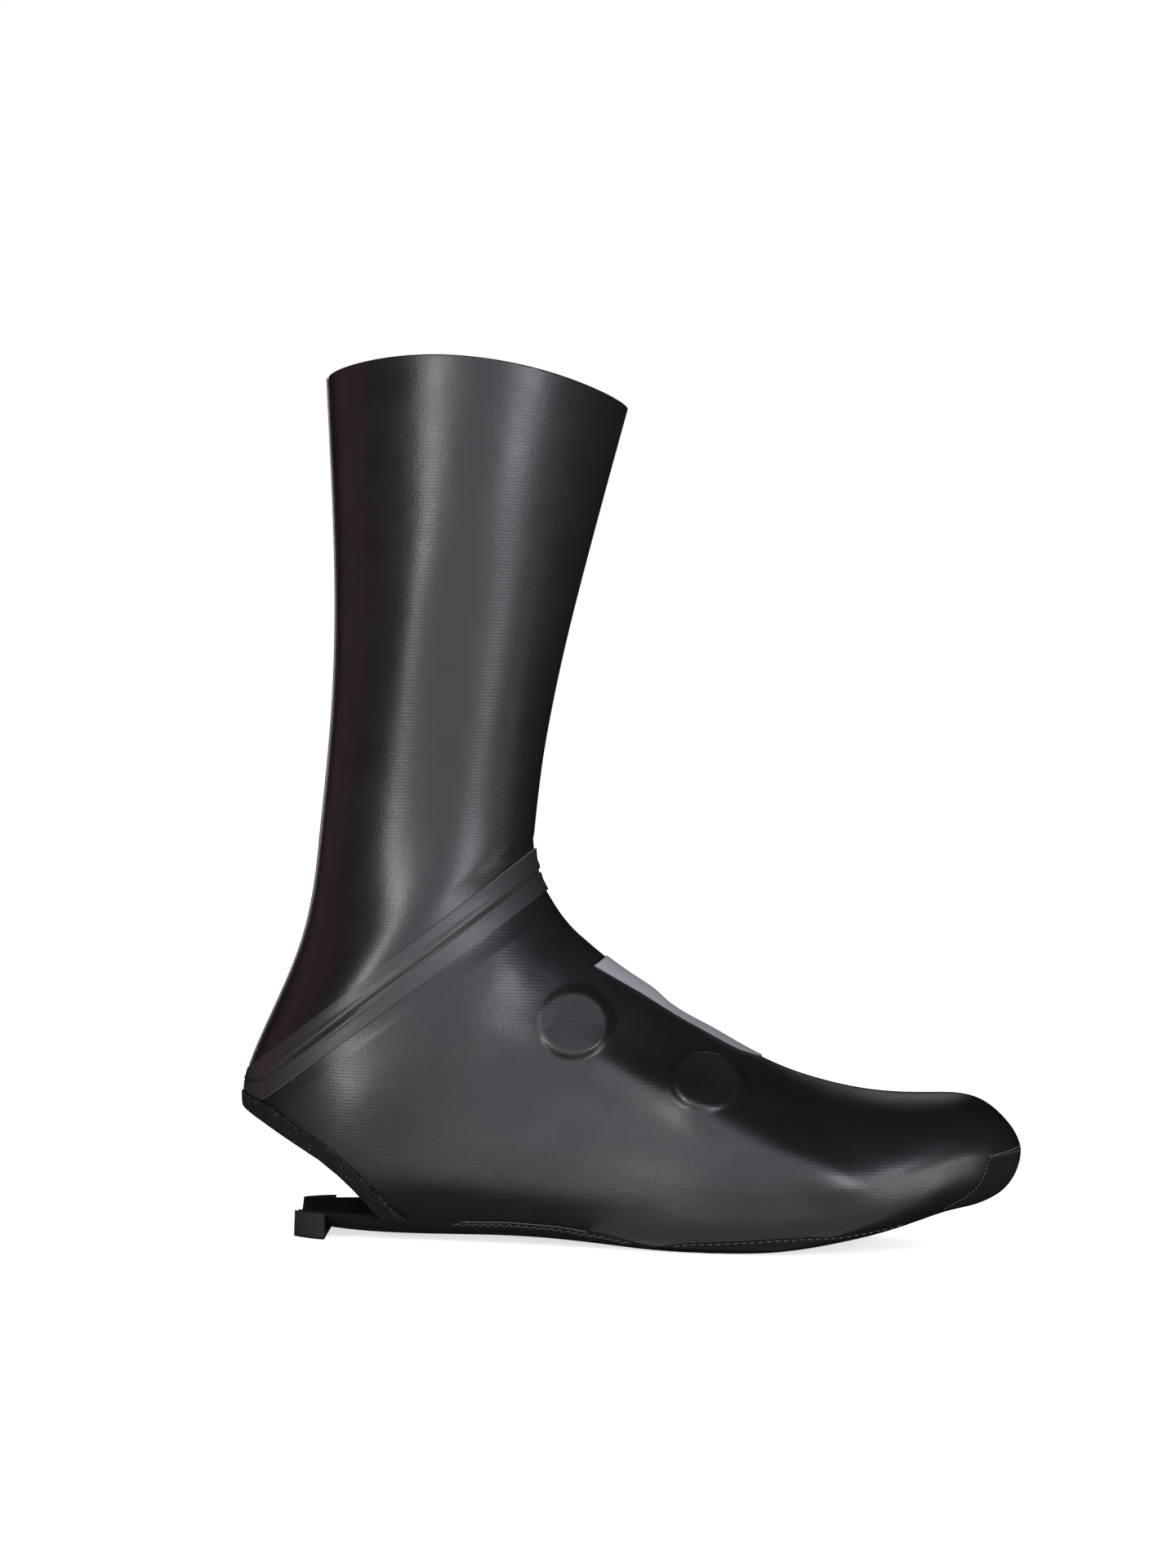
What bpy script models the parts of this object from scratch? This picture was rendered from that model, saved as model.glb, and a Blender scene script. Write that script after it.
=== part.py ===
"""A tall aero overshoe, right foot, standing empty on its sole in the stretched form of wear.

Metres, +X to the toe, +Z up, -Y the outer (lateral) side. The origin is on the floor, under the
middle of the heel grip. Every piece follows one skin: a row of flat sections that fan from the
collar, round the ankle, to the tip of the toe.
"""

from collections import namedtuple
from math import pi

import bmesh
import bpy
import numpy as np

# Sizes of the whole overshoe
FOOT_LENGTH = 0.293
BALL_WIDTH = 0.103
INSTEP_HEIGHT = 0.144
SHAFT_HEIGHT = 0.321
COLLAR_DEPTH = 0.1133
COLLAR_WIDTH = 0.102
COLLAR_SIDE_RISE = 0.008

# Cloth, rubber and clearance
UPPER_WALL = 0.0010
SOLE_WALL = 0.0019
TOE_WALL = 0.0014
CLEARANCE = 0.0003

# Ankle band, seam tape, heel binding and instep panel
BAND_THICKNESS = 0.0006
BAND_CLEARANCE = 0.0004
TAPE_WIDTH = 0.008
TAPE_THICKNESS = 0.0004
BINDING_THICKNESS = 0.0010
BINDING_WIDTH = 0.0065
BINDING_CLEARANCE = 0.0007
PANEL_THICKNESS = 0.0004

# Heel grip under the sole strap
GRIP_REAR = -0.0085
GRIP_LENGTH = 0.0178
GRIP_HEIGHT = 0.0096
GRIP_SIDE = 0.0018
GRIP_BEVEL = 0.0012
GRIP_CLEARANCE = 0.0008

# Two low round bosses in the cloth of the lateral side
BOSS_DIAMETER = 0.0232
BOSS_HEIGHT = 0.0029
BOSS_DRAFT = 0.0009
BOSS_LEAST = 0.0012
# How far a boss turns from square to the skin to square to the side: 0 to 1
BOSS_LEVEL = 0.2
BOSS_SIDES = 28

# Steps of the meshes
AROUND = 28
HEEL_STATIONS = 17
ARCH_ROWS = 7
FORE_ROWS = 9
TOE_ROWS = 5
CAP_ROWS = 4
GUARD_ROWS = 9
GUARD_BELOW = 3
SOLE_AROUND = 16
STRAP_ROWS = 6
TAPE_ROWS = 15
TAPE_AROUND = 4
BAND_ROWS = 4
PANEL_ROWS = 11
PANEL_AROUND = 6
GRIP_ROWS = 6
CUP_STEPS = 6
FINE_ROWS = 800

Section = namedtuple("Section", "xd zd xp zp yc lateral medial widest dtaper ptaper square rise")

# The shaft's sections, from the collar down. xp: back edge, in shares of FOOT_LENGTH. depth: share of
# COLLAR_DEPTH. zd, zp: front and back heights, as shares of the way from INSTEP_HEIGHT to SHAFT_HEIGHT.
# half: half width, share of COLLAR_WIDTH. widest: where the section is widest, from its back to its
# front. dtaper, ptaper: how much the front and the back narrow. rise: share of COLLAR_SIDE_RISE.
SHAFT_TABLE = (
    # xp, depth, zd, zp, half, widest, dtaper, ptaper, rise
    (-0.0225, 1.000, 0.954, 1.000, 0.500, 0.48, 0.06, 0.00, 1.00),
    (-0.0145, 0.926, 0.814, 0.831, 0.473, 0.48, 0.06, 0.00, 0.45),
    (-0.0060, 0.826, 0.603, 0.621, 0.428, 0.49, 0.04, 0.02, 0.10),
    (-0.0025, 0.747, 0.393, 0.395, 0.382, 0.50, 0.01, 0.06, 0.00),
    (-0.0070, 0.716, 0.226, 0.192, 0.348, 0.52, 0.00, 0.10, 0.00),
)

# The sections of ankle and foot. xd, zd: the dorsal point; xp, zp: the back or underside point. x is
# in shares of FOOT_LENGTH, z of INSTEP_HEIGHT, and the offset of the middle and the two half widths
# are shares of BALL_WIDTH. square: 2 is a round underside, and more is a flatter one.
FOOT_TABLE = (
    # xd, zd, xp, zp, middle, lateral, medial, widest, dtaper, ptaper, square
    (0.264, 1.170, -0.0147, 1.020, 0.000, 0.328, 0.328, 0.53, 0.00, 0.13, 2.00),
    (0.261, 1.098, -0.0240, 0.846, 0.000, 0.325, 0.325, 0.52, 0.00, 0.13, 2.00),
    (0.2590, 1.048, -0.0471, 0.676, 0.000, 0.338, 0.336, 0.50, 0.03, 0.10, 2.00),
    (0.2595, 1.014, -0.0976, 0.417, 0.000, 0.363, 0.358, 0.46, 0.07, 0.03, 2.00),
    (0.2635, 0.965, -0.1017, 0.360, 0.000, 0.368, 0.363, 0.45, 0.08, 0.01, 2.03),
    (0.277, 0.905, -0.0990, 0.306, 0.000, 0.371, 0.366, 0.44, 0.10, 0.00, 2.08),
    (0.307, 0.822, -0.0945, 0.246, 0.000, 0.375, 0.369, 0.43, 0.12, 0.00, 2.15),
    (0.341, 0.757, -0.083, 0.1580, 0.000, 0.380, 0.374, 0.42, 0.14, 0.00, 2.20),
    (0.377, 0.705, -0.053, 0.0600, 0.000, 0.385, 0.380, 0.40, 0.16, 0.00, 2.40),
    (0.411, 0.660, 0.000, 0.0190, 0.000, 0.390, 0.384, 0.38, 0.18, 0.00, 2.80),
    (0.437, 0.620, 0.130, 0.0080, 0.000, 0.402, 0.376, 0.36, 0.20, 0.00, 3.40),
    (0.464, 0.586, 0.253, 0.0126, 0.000, 0.420, 0.376, 0.35, 0.22, 0.00, 4.00),
    (0.498, 0.551, 0.355, 0.0027, 0.004, 0.453, 0.396, 0.34, 0.24, 0.00, 4.40),
    (0.539, 0.506, 0.444, -0.0105, 0.010, 0.492, 0.432, 0.34, 0.24, 0.00, 4.60),
    (0.587, 0.463, 0.519, -0.0117, 0.018, 0.512, 0.466, 0.35, 0.22, 0.00, 4.60),
    (0.638, 0.431, 0.594, -0.0019, 0.028, 0.504, 0.478, 0.37, 0.20, 0.00, 4.40),
    (0.693, 0.409, 0.662, 0.0218, 0.042, 0.480, 0.462, 0.39, 0.16, 0.00, 4.20),
    (0.744, 0.401, 0.720, 0.0490, 0.058, 0.440, 0.424, 0.42, 0.12, 0.00, 4.00),
    (0.788, 0.402, 0.768, 0.0781, 0.074, 0.388, 0.370, 0.45, 0.08, 0.00, 3.70),
    (0.823, 0.400, 0.805, 0.0989, 0.087, 0.330, 0.310, 0.47, 0.05, 0.00, 3.40),
    (0.852, 0.382, 0.836, 0.1109, 0.096, 0.270, 0.252, 0.49, 0.03, 0.00, 3.10),
    (0.875, 0.347, 0.859, 0.1261, 0.102, 0.206, 0.194, 0.50, 0.02, 0.00, 2.80),
    (0.892, 0.306, 0.877, 0.1469, 0.105, 0.145, 0.138, 0.50, 0.00, 0.00, 2.40),
    (0.901, 0.259, 0.891, 0.1810, 0.106, 0.082, 0.080, 0.50, 0.00, 0.00, 2.00),
    (0.898, 0.219, 0.898, 0.2190, 0.106, 0.000, 0.000, 0.50, 0.00, 0.00, 2.00),
)
# Rows of FOOT_TABLE at the top edge, the seam and the bottom edge of the ankle band
BAND_TOP_ROW, BAND_SEAM_ROW, BAND_FOOT_ROW = 3, 4, 5

# Lines of the side view, as (share of FOOT_LENGTH, share of INSTEP_HEIGHT)
# Lower edge of the heel binding, from the back of the heel down to the sole strap
BINDING_LOW_LINE = (
    (-0.1100, 0.3270), (-0.0960, 0.318), (-0.0660, 0.286), (-0.0400, 0.256), (-0.0180, 0.230),
    (0.0030, 0.206), (0.0270, 0.170), (0.0420, 0.144), (0.0580, 0.113), (0.0710, 0.085), (0.0830, 0.0600),
)
# Its upper edge
BINDING_TOP_LINE = (
    (-0.1150, 0.3700), (-0.1020, 0.362), (-0.0610, 0.335), (-0.0290, 0.293), (0.0030, 0.259),
    (0.0340, 0.210), (0.0520, 0.179), (0.0720, 0.141), (0.0900, 0.104), (0.1050, 0.078), (0.1210, 0.0600),
)
# Joint of upper and sole, from the end of the sole strap to the corner of the toe guard
SOLE_JOINT_LINE = (
    (-0.040, 0.0560), (0.060, 0.0560), (0.126, 0.0560), (0.240, 0.0640), (0.305, 0.0585), (0.370, 0.040),
    (0.404, 0.023), (0.430, 0.016), (0.468, 0.031), (0.527, 0.040), (0.581, 0.049), (0.622, 0.054),
    (0.655, 0.053), (0.725, 0.0745), (0.770, 0.1045), (0.793, 0.119), (0.807, 0.136), (0.823, 0.154),
    (0.834, 0.174), (0.843, 0.199), (0.848, 0.221), (0.8485, 0.252),
)
# Top edge of the toe guard, from that corner over the tip of the toe
GUARD_TOP_LINE = ((0.8485, 0.252), (0.862, 0.256), (0.876, 0.260), (0.890, 0.266), (0.905, 0.272))
# Lower edge of the instep panel, from its ankle end to its point
PANEL_LINE = ((0.330, 0.722), (0.403, 0.643), (0.454, 0.582), (0.514, 0.518), (0.530, 0.503), (0.5630, 0.4830))

# Where the arch piece meets the forefoot piece, and the forefoot piece the toe guard, as places of
# the sections' underside points, and where the panel starts, as places of their dorsal points
ARCH_END = 0.428
FOREFOOT_END = 0.792
PANEL_START = 0.356
PANEL_END = 0.560
# The middles of the two bosses in the side view
BOSSES = {"rear": (0.3150, 0.563), "front": (0.4830, 0.420)}


def shaft_sections():
    """The rows of SHAFT_TABLE as sections, in metres."""
    reach = SHAFT_HEIGHT - INSTEP_HEIGHT
    made = []
    for xp, depth, zd, zp, half, widest, dtaper, ptaper, rise in SHAFT_TABLE:
        back = xp * FOOT_LENGTH
        width = half * COLLAR_WIDTH
        made.append(Section(
            back + depth * COLLAR_DEPTH, INSTEP_HEIGHT + zd * reach, back, INSTEP_HEIGHT + zp * reach,
            0.0, width, width, widest, dtaper, ptaper, 2.0, rise * COLLAR_SIDE_RISE,
        ))
    return made


def foot_sections():
    """The rows of FOOT_TABLE as sections, in metres."""
    made = []
    for xd, zd, xp, zp, middle, lateral, medial, widest, dtaper, ptaper, square in FOOT_TABLE:
        made.append(Section(
            xd * FOOT_LENGTH, zd * INSTEP_HEIGHT, xp * FOOT_LENGTH, zp * INSTEP_HEIGHT,
            middle * BALL_WIDTH, lateral * BALL_WIDTH, medial * BALL_WIDTH,
            widest, dtaper, ptaper, square, 0.0,
        ))
    return made


class Skin:
    """The outer skin. A place on it is (u, angle): u runs from the collar to the toe, in metres along
    the middle of front and back edge, and angle runs from 0 at the dorsal edge to -pi on the lateral
    side and pi on the medial side, where both meet at the back or the underside."""

    def __init__(self):
        rows = shaft_sections() + foot_sections()
        self.table = np.array(rows)
        front = np.diff(self.table[:, 0:2], axis=0)
        back = np.diff(self.table[:, 2:4], axis=0)
        steps = (np.hypot(*front.T) + np.hypot(*back.T)) / 2
        self.knots = np.concatenate([[0.0], np.cumsum(steps)])
        self.bends = self.second_derivatives()
        self.end = self.knots[-1]
        self.fine = np.linspace(0.0, self.end, FINE_ROWS)
        self.fine_rows = self.rows(self.fine)

    def second_derivatives(self):
        """Second derivatives of the natural cubic splines through the table's columns."""
        gaps = np.diff(self.knots)
        size = len(self.knots)
        matrix = np.eye(size)
        right = np.zeros_like(self.table)
        slopes = np.diff(self.table, axis=0) / gaps[:, None]
        for i in range(1, size - 1):
            matrix[i, i - 1: i + 2] = gaps[i - 1], 2 * (gaps[i - 1] + gaps[i]), gaps[i]
            right[i] = 6 * (slopes[i] - slopes[i - 1])
        return np.linalg.solve(matrix, right)

    def rows(self, u):
        """The interpolated sections at u, one row each."""
        u = np.clip(np.atleast_1d(u), 0.0, self.end)
        i = np.clip(np.searchsorted(self.knots, u, side="right") - 1, 0, len(self.knots) - 2)
        gap = (self.knots[i + 1] - self.knots[i])[:, None]
        b = (u - self.knots[i])[:, None] / gap
        a = 1 - b
        bent = ((a**3 - a) * self.bends[i] + (b**3 - b) * self.bends[i + 1]) * gap**2 / 6
        return a * self.table[i] + b * self.table[i + 1] + bent

    def row_place(self, foot_row):
        """u of a row of FOOT_TABLE."""
        return self.knots[len(SHAFT_TABLE) + foot_row]

    def bare_points(self, u, angle):
        """Points of the skin, before the sole is pressed flat."""
        u, angle = np.broadcast_arrays(np.asarray(u, float), np.asarray(angle, float))
        shape = u.shape
        table = self.rows(u.ravel())
        angle = (angle.ravel() + pi) % (2 * pi) - pi
        xd, zd, xp, zp, yc, lateral, medial, widest, dtaper, ptaper, square, rise = table.T
        turn = np.abs(angle)
        cosine, sine = np.cos(turn), np.sin(turn)
        dorsal = turn <= pi / 2
        width = np.where(angle < 0, lateral, medial)
        power = np.maximum(square, 1.5)
        c, s = np.abs(cosine), np.abs(sine)
        radius = (c**power + s**power) ** (-1 / power)
        along = np.where(dorsal, widest + (1 - widest) * cosine, widest * (1 - radius * c))
        taper = np.where(dorsal, 1 - dtaper * c**2, 1 - ptaper * (radius * c) ** 2)
        side = np.where(dorsal, s, radius * s) * taper * width
        dx, dz = xd - xp, zd - zp
        length = np.maximum(np.hypot(dx, dz), 1e-9)
        lift = rise * s**2
        x = xp + along * dx - lift * dz / length
        z = zp + along * dz + lift * dx / length
        y = yc + np.sign(angle) * side
        return np.stack([x, y, z], axis=-1).reshape(shape + (3,))

    def normals(self, u, angle):
        """Outward unit normals of the skin."""
        u, angle = np.broadcast_arrays(np.asarray(u, float), np.asarray(angle, float))
        du, da = 2e-4, 2e-3
        u = np.clip(u, du, self.end - 4 * du)
        along = self.bare_points(u + du, angle) - self.bare_points(u - du, angle)
        across = self.bare_points(u, angle + da) - self.bare_points(u, angle - da)
        normal = np.cross(along, across)
        return normal / np.linalg.norm(normal, axis=-1, keepdims=True)

    def points(self, u, angle, lift=0.0, floor=True):
        """Points at a height over the skin. The floor presses the outside of the sole flat."""
        made = self.bare_points(u, angle) + self.normals(u, angle) * np.asarray(lift)[..., None]
        if floor:
            made[..., 2] = np.maximum(made[..., 2], 0.0)
        return made

    def angle_of(self, row, share):
        """The angle at which a section passes a share of the way from its underside to its top."""
        widest, square = row[7], row[10]
        if share >= widest:
            return np.arccos(np.clip((share - widest) / (1 - widest), 0.0, 1.0))
        reach = np.clip(1 - share / widest, 1e-6, 1.0)
        return pi - np.arctan((reach**-square - 1) ** (1 / square))

    def crossing(self, u, line):
        """The angle at which the section at u crosses a line of the side view."""
        row = self.rows(u)[0]
        top, foot = row[0:2], row[2:4]
        way = top - foot
        from_foot = line - foot
        side = from_foot[:, 0] * way[1] - from_foot[:, 1] * way[0]
        share = from_foot @ way / max(way @ way, 1e-12)
        change = np.where((side[:-1] > 0) != (side[1:] > 0))[0]
        if len(change) == 0:
            return 0.0 if abs(side[-1]) < abs(side[0]) else pi
        i = change[np.argmin(np.abs(share[change] - 0.3))]
        mix = side[i] / (side[i] - side[i + 1])
        return self.angle_of(row, np.clip(share[i] + mix * (share[i + 1] - share[i]), 0.0, 1.0))

    def locate(self, x, z):
        """(u, angle from the dorsal edge, share of the section's height) of a point of the side view."""
        xd, zd, xp, zp = self.fine_rows[:, 0:4].T
        side = (x - xp) * (zd - zp) - (z - zp) * (xd - xp)
        reach = np.maximum((xd - xp) ** 2 + (zd - zp) ** 2, 1e-12)
        share = ((x - xp) * (xd - xp) + (z - zp) * (zd - zp)) / reach
        near = (share[:-1] > -0.3) & (share[:-1] < 1.3)
        i = np.where(((side[:-1] > 0) != (side[1:] > 0)) & near)[0][0]
        mix = side[i] / (side[i] - side[i + 1])
        u = self.fine[i] + mix * (self.fine[i + 1] - self.fine[i])
        row = self.rows(u)[0]
        way = row[0:2] - row[2:4]
        share = ((x - row[2]) * way[0] + (z - row[3]) * way[1]) / (way @ way)
        return u, self.angle_of(row, np.clip(share, 0.0, 1.0)), share

    def stations(self, line, count):
        """Equal steps along a line of the side view on the skin, from its start at the back edge."""
        found = np.array([self.locate(x, z) for x, z in line])
        last = np.where(found[:, 2] <= 0)[0][-1]
        start = [[(found[last, 0] + found[last + 1, 0]) / 2, pi]]
        found = np.vstack([start, found[last + 1:, 0:2]])
        way = self.bare_points(found[:, 0], found[:, 1])
        steps = np.concatenate([[0.0], np.cumsum(np.linalg.norm(np.diff(way, axis=0), axis=1))])
        at = np.linspace(0, steps[-1], count)
        return np.interp(at, steps, found[:, 0]), np.interp(at, steps, found[:, 1])

    def at_underside(self, x):
        """u of the section whose underside point lies at x, ahead of the heel."""
        below = self.fine > self.row_place(7)
        return np.interp(x, self.fine_rows[below, 2], self.fine[below])

    def at_top(self, x):
        """u of the section whose dorsal point lies at x, ahead of the ankle."""
        ahead = (self.fine > self.row_place(5)) & (self.fine < self.row_place(22))
        return np.interp(x, self.fine_rows[ahead, 0], self.fine[ahead])

    def spread(self, u, angle):
        """Metres of skin for each radian of angle."""
        da = 2e-3
        way = self.bare_points(u, angle + da) - self.bare_points(u, angle - da)
        return np.linalg.norm(way, axis=-1) / (2 * da)


def line_points(shares, fine=40):
    """A line of the side view in metres, with straight runs cut into short steps."""
    ends = np.array(shares) * (FOOT_LENGTH, INSTEP_HEIGHT)
    runs = [a + (b - a) * np.linspace(0, 1, fine, endpoint=False)[:, None] for a, b in zip(ends, ends[1:])]
    return np.vstack(runs + [ends[-1:]])


def material(name, colour, roughness):
    made = bpy.data.materials.new(name)
    made.use_nodes = True
    shader = made.node_tree.nodes["Principled BSDF"]
    shader.inputs["Base Color"].default_value = (*colour, 1.0)
    shader.inputs["Roughness"].default_value = roughness
    shader.inputs["Metallic"].default_value = 0.0
    made.diffuse_color = (*colour, 1.0)
    return made


def add_object(name, points, faces, finish, crease=0.7):
    mesh = bpy.data.meshes.new(name)
    mesh.from_pydata([tuple(p) for p in points], [], faces)
    made = bmesh.new()
    made.from_mesh(mesh)
    bmesh.ops.recalc_face_normals(made, faces=made.faces)
    made.to_mesh(mesh)
    made.free()
    mesh.materials.append(finish)
    mesh.shade_smooth()
    mesh.set_sharp_from_angle(angle=crease)
    part = bpy.data.objects.new(name, mesh)
    bpy.context.scene.collection.objects.link(part)
    return part


def thickened(name, outer, inner, finish, crease=0.7):
    """A wall between two grids of points. Points of a grid that coincide become one, so that a grid
    may close on itself or end in a pole, and every open edge of the wall is closed."""
    rows, columns = outer.shape[:2]
    flat_outer, flat_inner = outer.reshape(-1, 3), inner.reshape(-1, 3)
    _, first, index = np.unique(
        np.round(flat_outer / 2e-6).astype(np.int64), axis=0, return_index=True, return_inverse=True,
    )
    index = index.reshape(rows, columns)
    count = len(first)
    faces = []
    # Every cell is split from its outer upper corner, so that both sides mirror each other
    for i in range(rows - 1):
        for j in range(columns - 1):
            ring = [int(v) for v in (index[i, j], index[i, j + 1], index[i + 1, j + 1], index[i + 1, j])]
            if 2 * j + 1 > columns - 1:
                ring = ring[1:] + ring[:1]
            for half in (ring[:3], [ring[0], ring[2], ring[3]]):
                if len(set(half)) == 3:
                    faces.append(half)
    uses = {}
    for ring in faces:
        for k, v in enumerate(ring):
            uses[(v, ring[(k + 1) % len(ring)])] = True
    edges = [(a, b) for a, b in uses if (b, a) not in uses]
    wall = list(faces)
    wall += [[v + count for v in reversed(ring)] for ring in faces]
    wall += [[b, a, a + count, b + count] for a, b in edges]
    return add_object(name, np.vstack([flat_outer[first], flat_inner[first]]), wall, finish, crease)


def skin_wall(name, skin, u, angle, low, high, finish):
    """A piece of the skin's own shape, from one height over it to another."""
    outer = skin.points(u, angle, np.full(np.shape(u), high))
    inner = skin.points(u, angle, np.full(np.shape(u), low), floor=False)
    return thickened(name, outer, inner, finish)


def grid(u, angle):
    return np.broadcast_arrays(np.asarray(u)[:, None], np.asarray(angle)[None, :])


def make_shaft(skin, finish):
    """The leg sleeve, from the collar to the ankle seam under the band."""
    seam = skin.row_place(BAND_SEAM_ROW)
    upper_part = np.linspace(0.0, skin.row_place(0), 6, endpoint=False)
    ankle_part = np.linspace(skin.row_place(0), seam - CLEARANCE / 2, 7)
    u, angle = grid(np.concatenate([upper_part, ankle_part]), np.linspace(-pi, pi, AROUND + 1))
    return skin_wall("shaft", skin, u, angle, -UPPER_WALL, 0.0, finish)


def make_ankle_band(skin, finish):
    """The tape over the ankle seam. At the back of the heel it ends at the binding's upper edge."""
    start, end = skin.row_place(BAND_TOP_ROW), skin.row_place(BAND_FOOT_ROW)
    angle = np.linspace(-pi, pi, AROUND + 1)
    top_u, top_turn = skin.stations(line_points(BINDING_TOP_LINE), HEEL_STATIONS)
    limit = np.interp(np.abs(angle), top_turn[::-1], top_u[::-1]) - 2 * CLEARANCE
    ends = np.minimum(end, limit)
    u = start + (ends - start) * np.linspace(0, 1, BAND_ROWS + 1)[:, None]
    angle = np.broadcast_to(angle, u.shape)
    return skin_wall("ankle_band", skin, u, angle, BAND_CLEARANCE, BAND_CLEARANCE + BAND_THICKNESS, finish)


def make_back_seam_tape(skin, finish):
    """The tape down the middle of the shaft's back, from the collar to the ankle band."""
    end = skin.row_place(BAND_TOP_ROW) - 2 * CLEARANCE
    u = np.linspace(CLEARANCE, end, TAPE_ROWS + 1)[:, None]
    half = TAPE_WIDTH / 2 / skin.spread(u, pi - 0.05)
    angle = pi + half * np.linspace(-1, 1, TAPE_AROUND + 1)
    u = np.broadcast_to(u, angle.shape)
    angle = np.where(angle > pi, angle - 2 * pi, angle)
    return skin_wall("back_seam_tape", skin, u, angle, CLEARANCE, CLEARANCE + TAPE_THICKNESS, finish)


def heel_cut():
    """The upper's own edge at the heel, which the binding's fold goes round."""
    line = line_points(BINDING_LOW_LINE)
    way = np.gradient(line, axis=0)
    inward = np.stack([-way[:, 1], way[:, 0]], axis=1)
    inward /= np.linalg.norm(inward, axis=1)[:, None]
    return line + inward * (BINDING_THICKNESS + BINDING_CLEARANCE)


def side_edges(skin, u, line, gap):
    """The angle of a lower edge at each u, moved up the skin by gap."""
    found = np.array([skin.crossing(place, line) for place in u])
    return found - gap / skin.spread(u, found)


def guard_corner(skin):
    """u and angle of the toe guard's upper corner."""
    x, z = np.array(GUARD_TOP_LINE[0]) * (FOOT_LENGTH, INSTEP_HEIGHT)
    return skin.locate(x, z)[0:2]


def guard_top(skin, angles):
    """u at which the toe guard's top edge has each of these angles from the dorsal edge."""
    corner, _ = guard_corner(skin)
    places = np.linspace(corner, skin.row_place(23), 120)
    line = line_points(GUARD_TOP_LINE)
    crossed = np.array([skin.crossing(place, line) for place in places])
    last = np.argmax(crossed < 1e-3) if (crossed < 1e-3).any() else len(crossed) - 1
    order = slice(last, None, -1) if last else slice(None, None, -1)
    return np.interp(np.abs(angles), crossed[order], places[order])


def joint_places(skin):
    """The rows that upper and sole share: beside the arch piece, then beside the forefoot piece."""
    cut_u, _ = skin.stations(heel_cut(), HEEL_STATIONS)
    arch_end = skin.at_underside(ARCH_END * FOOT_LENGTH)
    forefoot_end = skin.at_underside(FOREFOOT_END * FOOT_LENGTH)
    return np.linspace(cut_u[-1], arch_end, ARCH_ROWS), np.linspace(arch_end, forefoot_end, FORE_ROWS)


def toe_edge(skin, gap):
    """The joint of upper and toe guard on one side: u and angle up the side to the guard's corner,
    then u and angle over the toe to the middle. A positive gap moves it towards the upper."""
    corner, corner_angle = guard_corner(skin)
    _, forefoot = joint_places(skin)
    rise_u = np.linspace(forefoot[-1], corner, TOE_ROWS + 1)
    rise_angle = side_edges(skin, rise_u, line_points(SOLE_JOINT_LINE), gap)
    rise_angle[-1] = corner_angle - gap / skin.spread(corner, corner_angle)
    rise_u[-1] -= gap
    over_angle = np.linspace(1, 0, AROUND // 2 + 1) * rise_angle[-1]
    over_u = guard_top(skin, over_angle) - 2 * gap
    over_u[0] = rise_u[-1]
    return rise_u, rise_angle, over_u, over_angle


def make_upper(skin, finish):
    """The foot cover: a ring under the ankle band, then a sheet that is open at the heel and below."""
    across = np.linspace(-1, 1, AROUND + 1)
    arch, forefoot = joint_places(skin)
    cut_u, cut_turn = skin.stations(heel_cut(), HEEL_STATIONS)
    ring = np.linspace(skin.row_place(BAND_SEAM_ROW) + CLEARANCE / 2, cut_u[0], 3)[:-1]
    front = np.linspace(cut_u[0], cut_u[-1], HEEL_STATIONS)
    heel = front[:, None] + (cut_u - front)[:, None] * np.abs(across) ** 3
    fore = np.concatenate([arch[1:], forefoot[1:]])
    fore_edges = side_edges(skin, fore, line_points(SOLE_JOINT_LINE), CLEARANCE / 2)
    rise_u, rise_angle, over_u, _ = toe_edge(skin, CLEARANCE / 2)
    ends = np.concatenate([over_u, over_u[-2::-1]])
    toe = rise_u[-1] + (ends - rise_u[-1]) * np.linspace(0, 1, CAP_ROWS + 1)[1:, None]
    plain = np.ones(AROUND + 1)
    u = np.vstack([ring[:, None] * plain, heel, fore[:, None] * plain, rise_u[1:, None] * plain, toe])
    edges = np.concatenate([
        np.full(len(ring), pi), cut_turn, fore_edges, rise_angle[1:], np.full(CAP_ROWS, rise_angle[-1]),
    ])
    angle = edges[:, None] * across
    upper = skin_wall("upper", skin, u, angle, -UPPER_WALL, 0.0, finish)
    for where, place in BOSSES.items():
        raise_boss(upper, skin, where, place, finish)
    return upper


def boss_frame(skin, place):
    """The middle of a boss's foot on the skin, its axis, and two directions across it."""
    x, z = np.array(place) * (FOOT_LENGTH, INSTEP_HEIGHT)
    u, turn, _ = skin.locate(x, z)
    centre = skin.points(u, -turn, 0.0)
    axis = skin.normals(u, -turn) * (1 - BOSS_LEVEL) + np.array([0.0, -1.0, 0.0]) * BOSS_LEVEL
    axis /= np.linalg.norm(axis)
    right = np.cross(axis, [0.0, 0.0, 1.0])
    right /= np.linalg.norm(right)
    return centre, axis, right, np.cross(right, axis)


def side_point(skin, x, z, lift):
    """The point of the lateral side that the side view shows at (x, z)."""
    u, turn, _ = skin.locate(x, z)
    return skin.points(u, -turn, lift, floor=False)


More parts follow.
